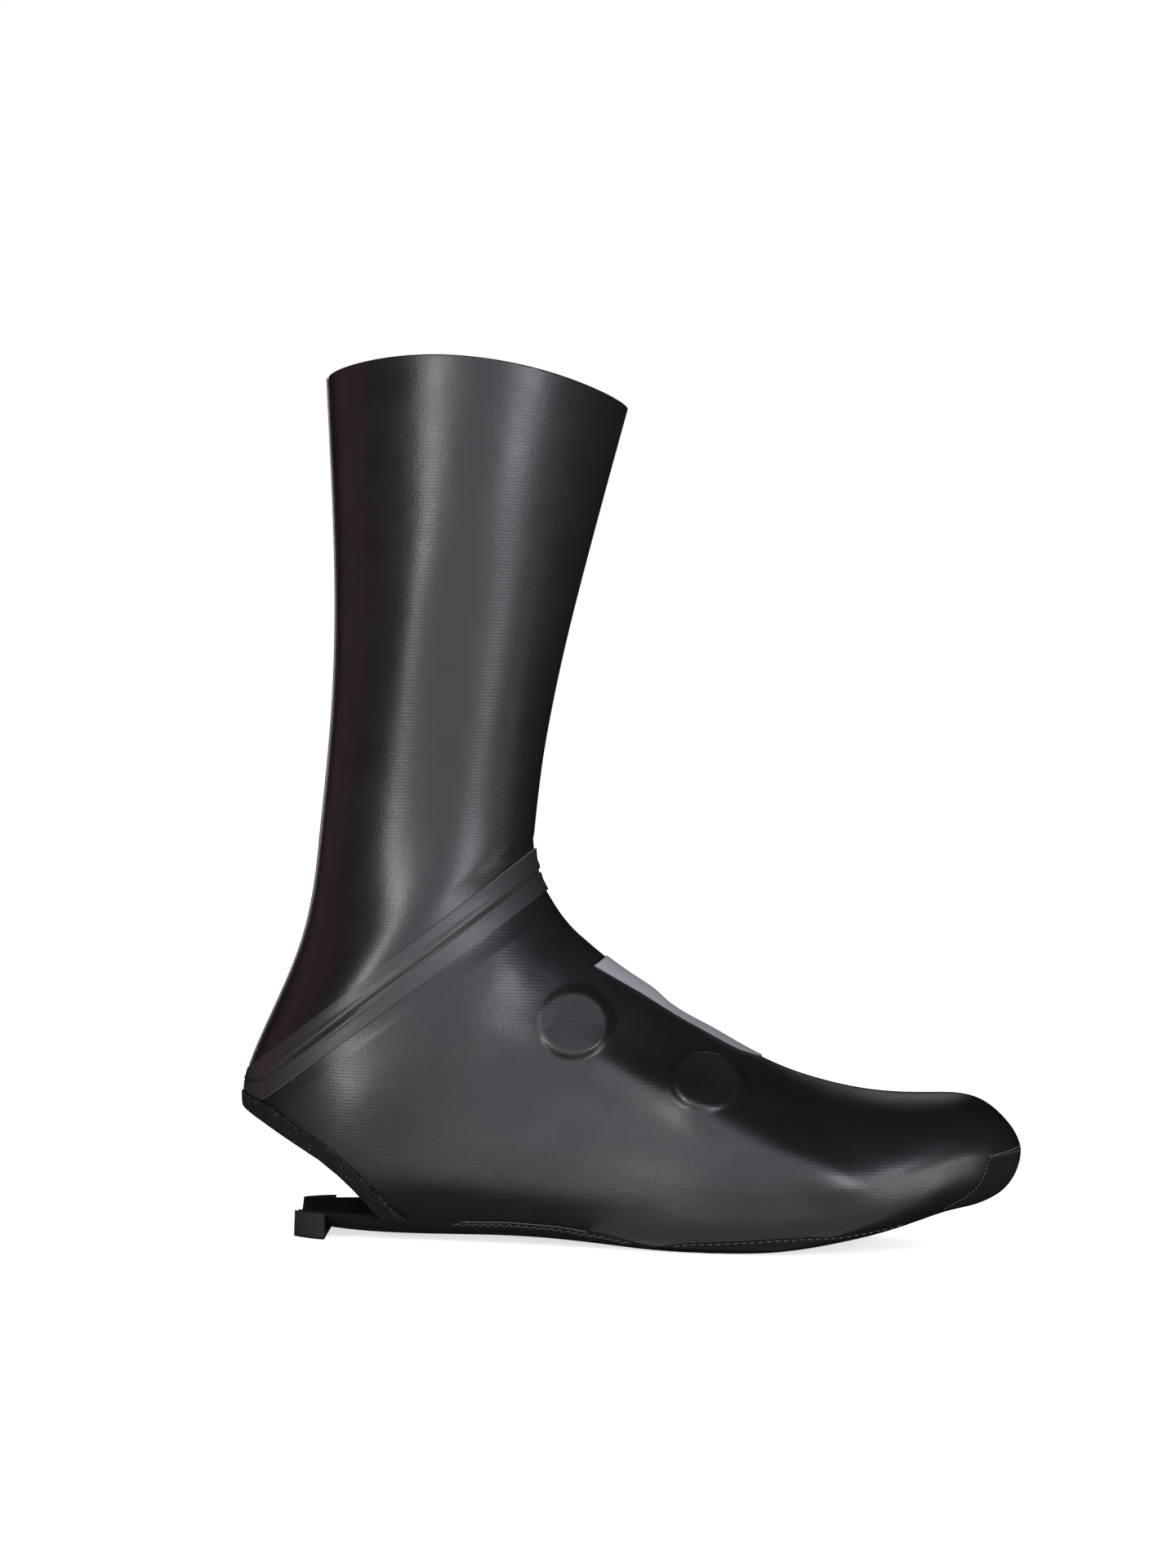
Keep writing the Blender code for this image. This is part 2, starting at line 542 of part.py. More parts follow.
def boss_plug(name, skin, frame, height, radius, foot_radius, foot_lift, finish):
    """A closed plug from the skin's height foot_lift to a level face, which nowhere sinks into the wall."""
    centre, axis, right, up = frame
    turns = np.arange(BOSS_SIDES) * 2 * pi / BOSS_SIDES
    round_ring = np.cos(turns)[:, None] * right + np.sin(turns)[:, None] * up
    face = centre + axis * height + round_ring * radius
    foot = centre + round_ring * foot_radius
    for ring in (face, foot):
        for point in ring:
            under = side_point(skin, point[0], point[2], foot_lift)
            if ring is face:
                point[1] = min(point[1], under[1] - BOSS_LEAST)
            else:
                point[:] = under
    points = np.vstack([face, foot, face.mean(axis=0), side_point(skin, centre[0], centre[2], foot_lift)])
    faces = []
    for k in range(BOSS_SIDES):
        after = (k + 1) % BOSS_SIDES
        faces += [[k, after, after + BOSS_SIDES, k + BOSS_SIDES]]
        faces += [[k, after, 2 * BOSS_SIDES], [k + BOSS_SIDES, after + BOSS_SIDES, 2 * BOSS_SIDES + 1]]
    made = add_object(name, points, faces, finish)
    made.hide_render = True
    made.display_type = "WIRE"
    return made


def raise_boss(upper, skin, where, place, finish):
    """One boss: a low round cap on the wall, hollow from the inside."""
    frame = boss_frame(skin, place)
    radius = BOSS_DIAMETER / 2
    cap = boss_plug(
        f"boss_{where}_cap", skin, frame, BOSS_HEIGHT, radius, radius + BOSS_DRAFT, -UPPER_WALL / 2, finish,
    )
    hollow = boss_plug(
        f"boss_{where}_hollow", skin, frame, BOSS_HEIGHT - UPPER_WALL, radius - UPPER_WALL,
        radius + BOSS_DRAFT - UPPER_WALL, -2 * UPPER_WALL, finish,
    )
    for cutter, operation in ((cap, "UNION"), (hollow, "DIFFERENCE")):
        modifier = upper.modifiers.new(cutter.name, "BOOLEAN")
        modifier.operation = operation
        modifier.solver = "EXACT"
        modifier.object = cutter


def make_sole_piece(name, skin, places, finish):
    """A tray of the sole, up to the joint with the upper."""
    edges = side_edges(skin, places, line_points(SOLE_JOINT_LINE), -CLEARANCE / 2)
    across = np.linspace(-1, 1, SOLE_AROUND + 1)
    u, angle = grid(places, np.where(across < 0, -pi, pi))
    angle = angle - (pi - edges)[:, None] * across
    return skin_wall(name, skin, u, angle, -SOLE_WALL, 0.0, finish)


def make_sole_arch(skin, finish):
    """The heel strap, cut off upright at the back of the grip, and the arch."""
    arch, _ = joint_places(skin)
    across = np.linspace(-1, 1, SOLE_AROUND + 1)
    fine = np.linspace(skin.row_place(6), arch[0], 120)
    fine_edges = side_edges(skin, fine, line_points(SOLE_JOINT_LINE), -CLEARANCE / 2)
    u, angle = grid(fine, np.where(across < 0, -pi, pi))
    x = skin.points(u, angle - (pi - fine_edges)[:, None] * across)[..., 0]
    start = np.array([np.interp(GRIP_REAR + CLEARANCE, x[:, k], fine) for k in range(len(across))])
    strap = start + (arch[0] - start) * np.linspace(0, 1, STRAP_ROWS + 1)[:-1, None]
    arch[-1] -= CLEARANCE / 2
    u = np.vstack([strap, arch[:, None] * np.ones(len(across))])
    arch_edges = side_edges(skin, arch, line_points(SOLE_JOINT_LINE), -CLEARANCE / 2)
    edges = np.vstack([np.interp(strap, fine, fine_edges), arch_edges[:, None] * np.ones(len(across))])
    angle = np.where(across < 0, -pi, pi) - (pi - edges) * across
    return skin_wall("sole_arch", skin, u, angle, -SOLE_WALL, 0.0, finish)


def make_sole_forefoot(skin, finish):
    """The piece under the ball of the foot, with the flat that the forefoot stands on."""
    _, forefoot = joint_places(skin)
    forefoot[0] += CLEARANCE / 2
    forefoot[-1] -= CLEARANCE / 2
    return make_sole_piece("sole_forefoot", skin, forefoot, finish)


def make_toe_guard(skin, finish):
    """The cap over the tip of the toe, from its edge to the foremost point of the skin."""
    rise_u, rise_angle, over_u, over_angle = toe_edge(skin, -CLEARANCE / 2)
    below = np.linspace(rise_angle[0], pi, GUARD_BELOW + 1)[1:]
    angle = np.concatenate([over_angle[::-1], rise_angle[-2::-1], below])
    start = np.concatenate([over_u[::-1], rise_u[-2::-1], np.full(GUARD_BELOW, rise_u[0])])
    start[-GUARD_BELOW - 1:] += CLEARANCE / 2
    angle = np.concatenate([-angle[:0:-1], angle])
    start = np.concatenate([start[:0:-1], start])
    rows = np.linspace(start.min(), skin.end, GUARD_ROWS + 1)[:, None]
    u = np.maximum(start, rows)
    angle = np.broadcast_to(angle, u.shape)
    return skin_wall("toe_guard", skin, u, angle, -TOE_WALL, 0.0, finish)


def make_heel_binding(skin, finish):
    """A folded strip over the edge of the heel opening: outer leg, fold and inner leg."""
    low_u, low_turn = skin.stations(line_points(BINDING_LOW_LINE), HEEL_STATIONS)
    top_u, top_turn = skin.stations(line_points(BINDING_TOP_LINE), HEEL_STATIONS)
    outer_leg, inner_leg = BINDING_CLEARANCE, -UPPER_WALL - BINDING_CLEARANCE
    outside, inside = outer_leg + BINDING_THICKNESS, inner_leg - BINDING_THICKNESS
    fold = BINDING_THICKNESS / BINDING_WIDTH
    corners = (
        (1.0, outer_leg), (1.0, outside), (0.0, outside), (0.0, inside),
        (1.0, inside), (1.0, inner_leg), (fold, inner_leg), (fold, outer_leg),
    )
    across = np.array([share for share, _ in corners])
    lift = np.array([height for _, height in corners])
    u = low_u[:, None] + (top_u - low_u)[:, None] * across
    turn = low_turn[:, None] + (top_turn - low_turn)[:, None] * across
    lift = np.broadcast_to(lift, u.shape)
    lateral = skin.points(u, -turn, lift, floor=False)
    medial = skin.points(u, turn, lift, floor=False)
    rings = np.vstack([lateral[:0:-1], medial])
    caps = ((0, 1, 2, 7), (2, 3, 6, 7), (3, 4, 5, 6))
    return add_object("heel_binding", rings.reshape(-1, 3), swept_faces(rings, caps), finish)


def swept_faces(rings, caps):
    """Faces between a row of closed rings, and the faces that close its first and last ring."""
    count, corners = rings.shape[:2]
    faces = []
    for i in range(count - 1):
        for k in range(corners):
            after = (k + 1) % corners
            here, there = i * corners, (i + 1) * corners
            faces.append([here + k, here + after, there + after, there + k])
    for i in (0, count - 1):
        faces += [[i * corners + v for v in ring] for ring in caps]
    return faces


def make_instep_panel(skin, finish):
    """A thin film over the instep, square at the ankle and pointed to the toe."""
    line = line_points(PANEL_LINE)
    start = skin.at_top(PANEL_START * FOOT_LENGTH)
    end = skin.at_top(PANEL_END * FOOT_LENGTH)
    places = np.linspace(start, end, PANEL_ROWS + 1)
    edges = np.array([skin.crossing(place, line) for place in places])
    edges[-1] = max(edges[-1], 0.02)
    u, angle = grid(places, np.linspace(-1, 1, PANEL_AROUND + 1))
    return skin_wall(
        "instep_panel", skin, u, angle * edges[:, None], CLEARANCE, CLEARANCE + PANEL_THICKNESS, finish,
    )


def cross_section(skin, x, top, lift, count):
    """Points (y, z) of the medial side at x, from the underside up to a height, over the skin."""
    angle = pi - np.linspace(0, 1.45, 60)
    fine = np.linspace(skin.row_place(6), skin.row_place(12), 160)
    u, turn = grid(fine, angle)
    found = skin.points(u, turn, np.full(u.shape, lift), floor=False)
    y = np.array([np.interp(x, found[:, k, 0], found[:, k, 1]) for k in range(len(angle))])
    z = np.array([np.interp(x, found[:, k, 0], found[:, k, 2]) for k in range(len(angle))])
    end = np.argmax(z > top)
    y, z = y[:end + 1], z[:end + 1]
    steps = np.concatenate([[0.0], np.cumsum(np.hypot(np.diff(y), np.diff(z)))])
    last = np.interp(top, z, steps)
    at = np.linspace(0, last, count)
    return np.stack([np.interp(at, steps, y), np.interp(at, steps, z)], axis=1)


def make_heel_grip(skin, finish):
    """A rubber block round the end of the sole strap: it cups the strap, and is flat below."""
    rings = []
    for x in np.linspace(GRIP_REAR, GRIP_REAR + GRIP_LENGTH, GRIP_ROWS + 1):
        cup = cross_section(skin, x, GRIP_HEIGHT, GRIP_CLEARANCE, CUP_STEPS + 1)
        outer = cup[-1, 0] + GRIP_SIDE
        wall = [(outer, GRIP_HEIGHT), (outer, GRIP_BEVEL), (outer - GRIP_BEVEL, 0.0)]
        half = [tuple(point) for point in cup] + wall
        ring = half + [(-y, z) for y, z in half[:0:-1]]
        rings.append([(x, y, z) for y, z in ring])
    rings = np.array(rings)
    size, foot = rings.shape[1], CUP_STEPS + 3
    caps = [(k, k + 1, foot) for k in range(foot - 1)]
    caps += [(size - k - 1, (size - k) % size, size - foot) for k in range(foot - 1)]
    caps += [(0, foot, size - foot)]
    return add_object("heel_grip", rings.reshape(-1, 3), swept_faces(rings, caps), finish)


def clear_scene():
    for part in list(bpy.data.objects):
        bpy.data.objects.remove(part)


def main():
    clear_scene()
    skin = Skin()
    coated = material("coated_cloth", (0.022, 0.020, 0.023), 0.42)
    tape = material("bonded_tape", (0.020, 0.019, 0.022), 0.50)
    knit = material("black_knit", (0.012, 0.012, 0.013), 0.95)
    woven = material("black_woven", (0.014, 0.013, 0.014), 0.85)
    film = material("grey_film", (0.19, 0.20, 0.22), 0.45)
    rubber = material("grip_rubber", (0.03, 0.029, 0.03), 0.75)
    make_shaft(skin, coated)
    make_upper(skin, coated)
    make_ankle_band(skin, tape)
    make_back_seam_tape(skin, tape)
    make_instep_panel(skin, film)
    make_heel_binding(skin, knit)
    make_sole_arch(skin, knit)
    make_sole_forefoot(skin, woven)
    make_toe_guard(skin, woven)
    make_heel_grip(skin, rubber)


main()
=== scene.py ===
"""A tall aero overshoe, right foot, standing empty on a pale floor."""

from collections import namedtuple
from math import pi, radians

import bmesh
import bpy
import numpy as np
from mathutils import Matrix, Vector


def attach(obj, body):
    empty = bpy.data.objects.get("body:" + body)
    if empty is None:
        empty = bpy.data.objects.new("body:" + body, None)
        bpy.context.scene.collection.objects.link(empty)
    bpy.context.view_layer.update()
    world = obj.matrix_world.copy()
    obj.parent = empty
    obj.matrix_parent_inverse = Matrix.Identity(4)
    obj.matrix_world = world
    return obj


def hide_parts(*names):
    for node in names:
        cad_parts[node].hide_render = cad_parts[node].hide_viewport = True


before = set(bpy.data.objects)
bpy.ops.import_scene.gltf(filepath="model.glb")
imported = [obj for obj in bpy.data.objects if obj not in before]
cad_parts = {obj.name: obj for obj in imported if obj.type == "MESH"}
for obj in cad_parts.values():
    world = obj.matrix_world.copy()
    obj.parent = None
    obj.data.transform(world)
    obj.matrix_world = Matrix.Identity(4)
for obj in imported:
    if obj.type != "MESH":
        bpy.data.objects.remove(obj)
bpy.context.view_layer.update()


# The leg sleeve. A tube of stretch knit with a thin glossy coating, cut raw at the collar and drawn
# tight towards the ankle. It ends under the bonded tape of the ankle seam.

FOOT_LENGTH = 0.293
BALL_WIDTH = 0.103
INSTEP_HEIGHT = 0.144
SHAFT_HEIGHT = 0.321
COLLAR_DEPTH = 0.1133
COLLAR_WIDTH = 0.102
COLLAR_SIDE_RISE = 0.008
CLOTH_WALL = 0.0010
SEAM_GAP = 0.0003
# Points closer than this become one, and edges bent more than this, in radians, are sharp
WELD = 2e-6
WALL_SHARP = 0.7

# xp: back edge, in shares of FOOT_LENGTH. depth: share of COLLAR_DEPTH. zd, zp: front and back
# heights, as shares of the way from INSTEP_HEIGHT to SHAFT_HEIGHT. half: share of COLLAR_WIDTH.
SHAFT_TABLE = (
    # xp, depth, zd, zp, half, widest, dtaper, ptaper, rise
    (-0.0225, 1.000, 0.954, 1.000, 0.500, 0.48, 0.06, 0.00, 1.00),
    (-0.0145, 0.926, 0.814, 0.831, 0.473, 0.48, 0.06, 0.00, 0.45),
    (-0.0060, 0.826, 0.603, 0.621, 0.428, 0.49, 0.04, 0.02, 0.10),
    (-0.0025, 0.747, 0.393, 0.395, 0.382, 0.50, 0.01, 0.06, 0.00),
    (-0.0070, 0.716, 0.226, 0.192, 0.348, 0.52, 0.00, 0.10, 0.00),
)

# xd, zd: the point on top. xp, zp: the point at the back or the underside. x is a share of
# FOOT_LENGTH and z of INSTEP_HEIGHT. The middle's offset and the half widths are in BALL_WIDTHs.
# widest: the share of the way up at which a section is widest. dtaper, ptaper: how much narrower it
# grows towards the top and the underside. square: how square it is below, from 2 for round.
FOOT_TABLE = (
    # xd, zd, xp, zp, middle, lateral, medial, widest, dtaper, ptaper, square
    (0.264, 1.170, -0.0147, 1.020, 0.000, 0.328, 0.328, 0.53, 0.00, 0.13, 2.00),
    (0.261, 1.098, -0.0240, 0.846, 0.000, 0.325, 0.325, 0.52, 0.00, 0.13, 2.00),
    (0.2590, 1.048, -0.0471, 0.676, 0.000, 0.338, 0.336, 0.50, 0.03, 0.10, 2.00),
    (0.2595, 1.014, -0.0976, 0.417, 0.000, 0.363, 0.358, 0.46, 0.07, 0.03, 2.00),
    (0.2635, 0.965, -0.1017, 0.360, 0.000, 0.368, 0.363, 0.45, 0.08, 0.01, 2.03),
    (0.277, 0.905, -0.0990, 0.306, 0.000, 0.371, 0.366, 0.44, 0.10, 0.00, 2.08),
    (0.307, 0.822, -0.0945, 0.246, 0.000, 0.375, 0.369, 0.43, 0.12, 0.00, 2.15),
    (0.341, 0.757, -0.083, 0.1580, 0.000, 0.380, 0.374, 0.42, 0.14, 0.00, 2.20),
    (0.377, 0.705, -0.053, 0.0600, 0.000, 0.385, 0.380, 0.40, 0.16, 0.00, 2.40),
    (0.411, 0.660, 0.000, 0.0190, 0.000, 0.390, 0.384, 0.38, 0.18, 0.00, 2.80),
    (0.437, 0.620, 0.130, 0.0080, 0.000, 0.402, 0.376, 0.36, 0.20, 0.00, 3.40),
    (0.464, 0.586, 0.253, 0.0126, 0.000, 0.420, 0.376, 0.35, 0.22, 0.00, 4.00),
    (0.498, 0.551, 0.355, 0.0027, 0.004, 0.453, 0.396, 0.34, 0.24, 0.00, 4.40),
    (0.539, 0.506, 0.444, -0.0105, 0.010, 0.492, 0.432, 0.34, 0.24, 0.00, 4.60),
    (0.587, 0.463, 0.519, -0.0117, 0.018, 0.512, 0.466, 0.35, 0.22, 0.00, 4.60),
    (0.638, 0.431, 0.594, -0.0019, 0.028, 0.504, 0.478, 0.37, 0.20, 0.00, 4.40),
    (0.693, 0.409, 0.662, 0.0218, 0.042, 0.480, 0.462, 0.39, 0.16, 0.00, 4.20),
    (0.744, 0.401, 0.720, 0.0490, 0.058, 0.440, 0.424, 0.42, 0.12, 0.00, 4.00),
    (0.788, 0.402, 0.768, 0.0781, 0.074, 0.388, 0.370, 0.45, 0.08, 0.00, 3.70),
    (0.823, 0.400, 0.805, 0.0989, 0.087, 0.330, 0.310, 0.47, 0.05, 0.00, 3.40),
    (0.852, 0.382, 0.836, 0.1109, 0.096, 0.270, 0.252, 0.49, 0.03, 0.00, 3.10),
    (0.875, 0.347, 0.859, 0.1261, 0.102, 0.206, 0.194, 0.50, 0.02, 0.00, 2.80),
    (0.892, 0.306, 0.877, 0.1469, 0.105, 0.145, 0.138, 0.50, 0.00, 0.00, 2.40),
    (0.901, 0.259, 0.891, 0.1810, 0.106, 0.082, 0.080, 0.50, 0.00, 0.00, 2.00),
    (0.898, 0.219, 0.898, 0.2190, 0.106, 0.000, 0.000, 0.50, 0.00, 0.00, 2.00),
)
# The rows of FOOT_TABLE at the ankle band's upper edge, its seam and its lower edge
BAND_TOP_ROW, BAND_SEAM_ROW, BAND_FOOT_ROW = 3, 4, 5


def sleeve_sections():
    """The sections of the sleeve, in metres, from the collar down."""
    reach = SHAFT_HEIGHT - INSTEP_HEIGHT
    for xp, depth, zd, zp, half, widest, dtaper, ptaper, rise in SHAFT_TABLE:
        back = xp * FOOT_LENGTH
        width = half * COLLAR_WIDTH
        yield (
            back + depth * COLLAR_DEPTH, INSTEP_HEIGHT + zd * reach,
            back, INSTEP_HEIGHT + zp * reach,
            0.0, width, width, widest, dtaper, ptaper, 2.0, rise * COLLAR_SIDE_RISE,
        )


def foot_sections():
    """The sections of ankle and foot, in metres, from the ankle to the toe."""
    for xd, zd, xp, zp, middle, lateral, medial, widest, dtaper, ptaper, square in FOOT_TABLE:
        yield (
            xd * FOOT_LENGTH, zd * INSTEP_HEIGHT, xp * FOOT_LENGTH, zp * INSTEP_HEIGHT,
            middle * BALL_WIDTH, lateral * BALL_WIDTH, medial * BALL_WIDTH,
            widest, dtaper, ptaper, square, 0.0,
        )


class Skin:
    """The outer skin. A place on it is (u, angle): u runs from the collar to the toe, and angle
    from 0 at the dorsal edge to -pi down the lateral side and to pi down the medial side."""

    # Steps of u and angle for slopes
    DU, DA = 2e-4, 2e-3

    def __init__(self):
        self.table = np.array(list(sleeve_sections()) + list(foot_sections()))
        front = np.diff(self.table[:, 0:2], axis=0)
        back = np.diff(self.table[:, 2:4], axis=0)
        steps = (np.hypot(*front.T) + np.hypot(*back.T)) / 2
        self.knots = np.concatenate([[0.0], np.cumsum(steps)])
        self.bends = self.second_derivatives()
        self.end = self.knots[-1]
        self.fine = np.linspace(0.0, self.end, 800)
        self.fine_rows = self.rows(self.fine)

    def second_derivatives(self):
        """The bends of a natural cubic curve through each column of the table."""
        gaps = np.diff(self.knots)
        matrix = np.eye(len(self.knots))
        right = np.zeros_like(self.table)
        slopes = np.diff(self.table, axis=0) / gaps[:, None]
        for i in range(1, len(self.knots) - 1):
            matrix[i, i - 1: i + 2] = gaps[i - 1], 2 * (gaps[i - 1] + gaps[i]), gaps[i]
            right[i] = 6 * (slopes[i] - slopes[i - 1])
        return np.linalg.solve(matrix, right)

    def rows(self, u):
        """The measures of the section at each u."""
        u = np.clip(np.atleast_1d(u), 0.0, self.end)
        i = np.clip(np.searchsorted(self.knots, u, side="right") - 1, 0, len(self.knots) - 2)
        gap = (self.knots[i + 1] - self.knots[i])[:, None]
        b = (u - self.knots[i])[:, None] / gap
        a = 1 - b
        bent = ((a**3 - a) * self.bends[i] + (b**3 - b) * self.bends[i + 1]) * gap**2 / 6
        return a * self.table[i] + b * self.table[i + 1] + bent

    def row_place(self, foot_row):
        """u of a row of FOOT_TABLE."""
        return self.knots[len(SHAFT_TABLE) + foot_row]

    def bare_points(self, u, angle):
        """Points on the skin itself."""
        u, angle = np.broadcast_arrays(np.asarray(u, float), np.asarray(angle, float))
        shape = u.shape
        table = self.rows(u.ravel())
        angle = (angle.ravel() + pi) % (2 * pi) - pi
        xd, zd, xp, zp, yc, lateral, medial, widest, dtaper, ptaper, square, rise = table.T
        turn = np.abs(angle)
        cosine, sine = np.cos(turn), np.sin(turn)
        dorsal = turn <= pi / 2
        width = np.where(angle < 0, lateral, medial)
        c, s = np.abs(cosine), np.abs(sine)
        power = np.maximum(square, 1.5)
        radius = (c**power + s**power) ** (-1 / power)
        along = np.where(dorsal, widest + (1 - widest) * cosine, widest * (1 - radius * c))
        taper = np.where(dorsal, 1 - dtaper * c**2, 1 - ptaper * (radius * c) ** 2)
        side = np.where(dorsal, s, radius * s) * taper * width
        dx, dz = xd - xp, zd - zp
        length = np.maximum(np.hypot(dx, dz), 1e-9)
        lift = rise * s**2
        x = xp + along * dx - lift * dz / length
        z = zp + along * dz + lift * dx / length
        y = yc + np.sign(angle) * side
        return np.stack([x, y, z], axis=-1).reshape(shape + (3,))

    def normals(self, u, angle):
        """The outward way at each place."""
        u, angle = np.broadcast_arrays(np.asarray(u, float), np.asarray(angle, float))
        u = np.clip(u, self.DU, self.end - 4 * self.DU)
        along = self.bare_points(u + self.DU, angle) - self.bare_points(u - self.DU, angle)
        across = self.bare_points(u, angle + self.DA) - self.bare_points(u, angle - self.DA)
        return unit(np.cross(along, across))

    def points(self, u, angle, lift=0.0, floor=True):
        """Points at a height over the skin. The floor presses the outside of the sole flat."""
        made = self.bare_points(u, angle) + self.normals(u, angle) * np.asarray(lift)[..., None]
        if floor:
            made[..., 2] = np.maximum(made[..., 2], 0.0)
        return made

    def angle_of(self, row, share):
        """The angle at a share of a section's way up from the underside."""
        widest, square = row[7], row[10]
        if share >= widest:
            return np.arccos(np.clip((share - widest) / (1 - widest), 0.0, 1.0))
        reach = np.clip(1 - share / widest, 1e-6, 1.0)
        return pi - np.arctan((reach**-square - 1) ** (1 / square))

    def crossing(self, u, line):
        """The angle at which the section at u crosses a line of the side view."""
        row = self.rows(u)[0]
        way = row[0:2] - row[2:4]
        from_foot = line - row[2:4]
        side = from_foot[:, 0] * way[1] - from_foot[:, 1] * way[0]
        share = from_foot @ way / max(way @ way, 1e-12)
        change = np.where((side[:-1] > 0) != (side[1:] > 0))[0]
        if len(change) == 0:
            return 0.0 if abs(side[-1]) < abs(side[0]) else pi
        i = change[np.argmin(np.abs(share[change] - 0.3))]
        mix = side[i] / (side[i] - side[i + 1])
        return self.angle_of(row, np.clip(share[i] + mix * (share[i + 1] - share[i]), 0.0, 1.0))

    def locate(self, x, z):
        """(u, angle, share of the section's height) of a point of the side view."""
        xd, zd, xp, zp = self.fine_rows[:, 0:4].T
        side = (x - xp) * (zd - zp) - (z - zp) * (xd - xp)
        reach = np.maximum((xd - xp) ** 2 + (zd - zp) ** 2, 1e-12)
        share = ((x - xp) * (xd - xp) + (z - zp) * (zd - zp)) / reach
        near = (share[:-1] > -0.3) & (share[:-1] < 1.3)
        i = np.where(((side[:-1] > 0) != (side[1:] > 0)) & near)[0][0]
        mix = side[i] / (side[i] - side[i + 1])
        u = self.fine[i] + mix * (self.fine[i + 1] - self.fine[i])
        row = self.rows(u)[0]
        way = row[0:2] - row[2:4]
        share = ((x - row[2]) * way[0] + (z - row[3]) * way[1]) / (way @ way)
        return u, self.angle_of(row, np.clip(share, 0.0, 1.0)), share

    def spread(self, u, angle):
        """Metres of skin for each radian of angle."""
        way = self.bare_points(u, angle + self.DA) - self.bare_points(u, angle - self.DA)
        return np.linalg.norm(way, axis=-1) / (2 * self.DA)


def unit(ways):
    """The same ways with a length of 1."""
    return ways / np.linalg.norm(ways, axis=-1, keepdims=True)


skin = Skin()


def placed(name, data):
    """A new object in the scene."""
    made = bpy.data.objects.new(name, data)
    bpy.context.scene.collection.objects.link(made)
    return made


def new_piece(name, points, faces, finishes, sharp, cut_from=None):
    """A smooth piece with outward faces. Edges bent more than sharp, in radians, stay sharp. With
    two finishes, the faces from cut_from on have the second."""
    mesh = bpy.data.meshes.new(name)
    mesh.from_pydata(points, [], faces)
    for finish in finishes:
        mesh.materials.append(finish)
    shape = bmesh.new()
    shape.from_mesh(mesh)
    if len(finishes) > 1:
        shape.faces.ensure_lookup_table()
        for face in shape.faces[cut_from:]:
            face.material_index = 1
    bmesh.ops.recalc_face_normals(shape, faces=shape.faces)
    shape.to_mesh(mesh)
    shape.free()
    mesh.shade_smooth()
    if sharp:
        mesh.set_sharp_from_angle(angle=sharp)
    return placed(name, mesh)


def wall(name, outer, inner, finishes, keep):
    """A closed wall: a fine grid outside, a coarser one inside, and cut edges between them. Points
    that coincide become one, so that a grid may close on itself or end in a corner."""
    rows, columns = outer.shape[:2]
    kept = [np.unique(np.r_[np.arange(0, n, keep), n - 1]) for n in (rows, columns)]
    near = [
        np.abs(np.arange(n)[:, None] - k[None, :]).argmin(axis=1)
        for n, k in zip((rows, columns), kept)
    ]

    def welded(grid):
        flat = grid.reshape(-1, 3)
        _, first, index = np.unique(
            np.round(flat / WELD).astype(np.int64), axis=0, return_index=True, return_inverse=True,
        )
        return flat[first], first, index.reshape(grid.shape[:2])

    def cells(index):
        made = []
        corners = index[:-1, :-1], index[:-1, 1:], index[1:, 1:], index[1:, :-1]
        for ring in np.stack(corners, axis=-1).reshape(-1, 4).tolist():
            ring = [v for k, v in enumerate(ring) if v != ring[k - 1]]
            if len(set(ring)) == len(ring) and len(ring) > 2:
                made.append(ring)
        return made

    out_points, out_first, out_index = welded(outer)
    # The inner grid is welded where the outer one is, so that both have the same open edges
    thin = out_index[np.ix_(*kept)]
    used, in_index = np.unique(thin, return_inverse=True)
    in_index = in_index.reshape(thin.shape)
    in_points = np.zeros((len(used), 3))
    in_points[in_index.ravel()] = inner[np.ix_(*kept)].reshape(-1, 3)
    out_cells, in_cells = cells(out_index), cells(in_index)
    uses = {(v, ring[(k + 1) % len(ring)]) for ring in out_cells for k, v in enumerate(ring)}
    place = np.stack(np.unravel_index(out_first, (rows, columns)), axis=1)
    count = len(out_points)
    faces = out_cells + [[v + count for v in reversed(ring)] for ring in in_cells]
    cut_from = len(faces)
    for a, b in uses:
        if (b, a) in uses:
            continue
        inside = [int(in_index[near[0][place[v][0]], near[1][place[v][1]]]) + count for v in (a, b)]
        faces.append([b, a, inside[0]] + ([inside[1]] if inside[1] != inside[0] else []))
    points = np.vstack([out_points, in_points]).tolist()
    return new_piece(name, points, faces, finishes, WALL_SHARP, cut_from)


def skin_wall(name, u, angle, low, high, finishes, keep=4):
    """A wall that follows the skin, from one height over it to another."""
    outer = skin.points(u, angle, high)
    inner = skin.points(u, angle, low, floor=False)
    return wall(name, outer, inner, finishes, keep)


def add_node(tree, kind, inputs=None, **settings):
    """A shader node with its settings. An input is a value, or another node's output."""
    made = tree.nodes.new("ShaderNode" + kind)
    for key, value in settings.items():
        setattr(made, key, value)
    for key, value in (inputs or {}).items():
        if isinstance(value, bpy.types.NodeSocket):
            tree.links.new(value, made.inputs[key])
        else:
            made.inputs[key].default_value = value
    return made


def shades(tree, shader, dark, light, factor):
    """The shader's colour runs from dark to light with a factor."""
    made = add_node(tree, "Mix", data_type="RGBA")
    tree.links.new(factor, made.inputs[0])
    made.inputs[6].default_value = (*dark, 1.0)
    made.inputs[7].default_value = (*light, 1.0)
    tree.links.new(made.outputs[2], shader.inputs["Base Color"])


def new_finish(name, roughness):
    """A new material, its node tree, its shader and the place on the piece that feeds its nodes."""
    made = bpy.data.materials.new(name)
    made.use_nodes = True
    shader = made.node_tree.nodes["Principled BSDF"]
    shader.inputs["Roughness"].default_value = roughness
    where = add_node(made.node_tree, "TexCoord").outputs["Object"]
    return made, made.node_tree, shader, where


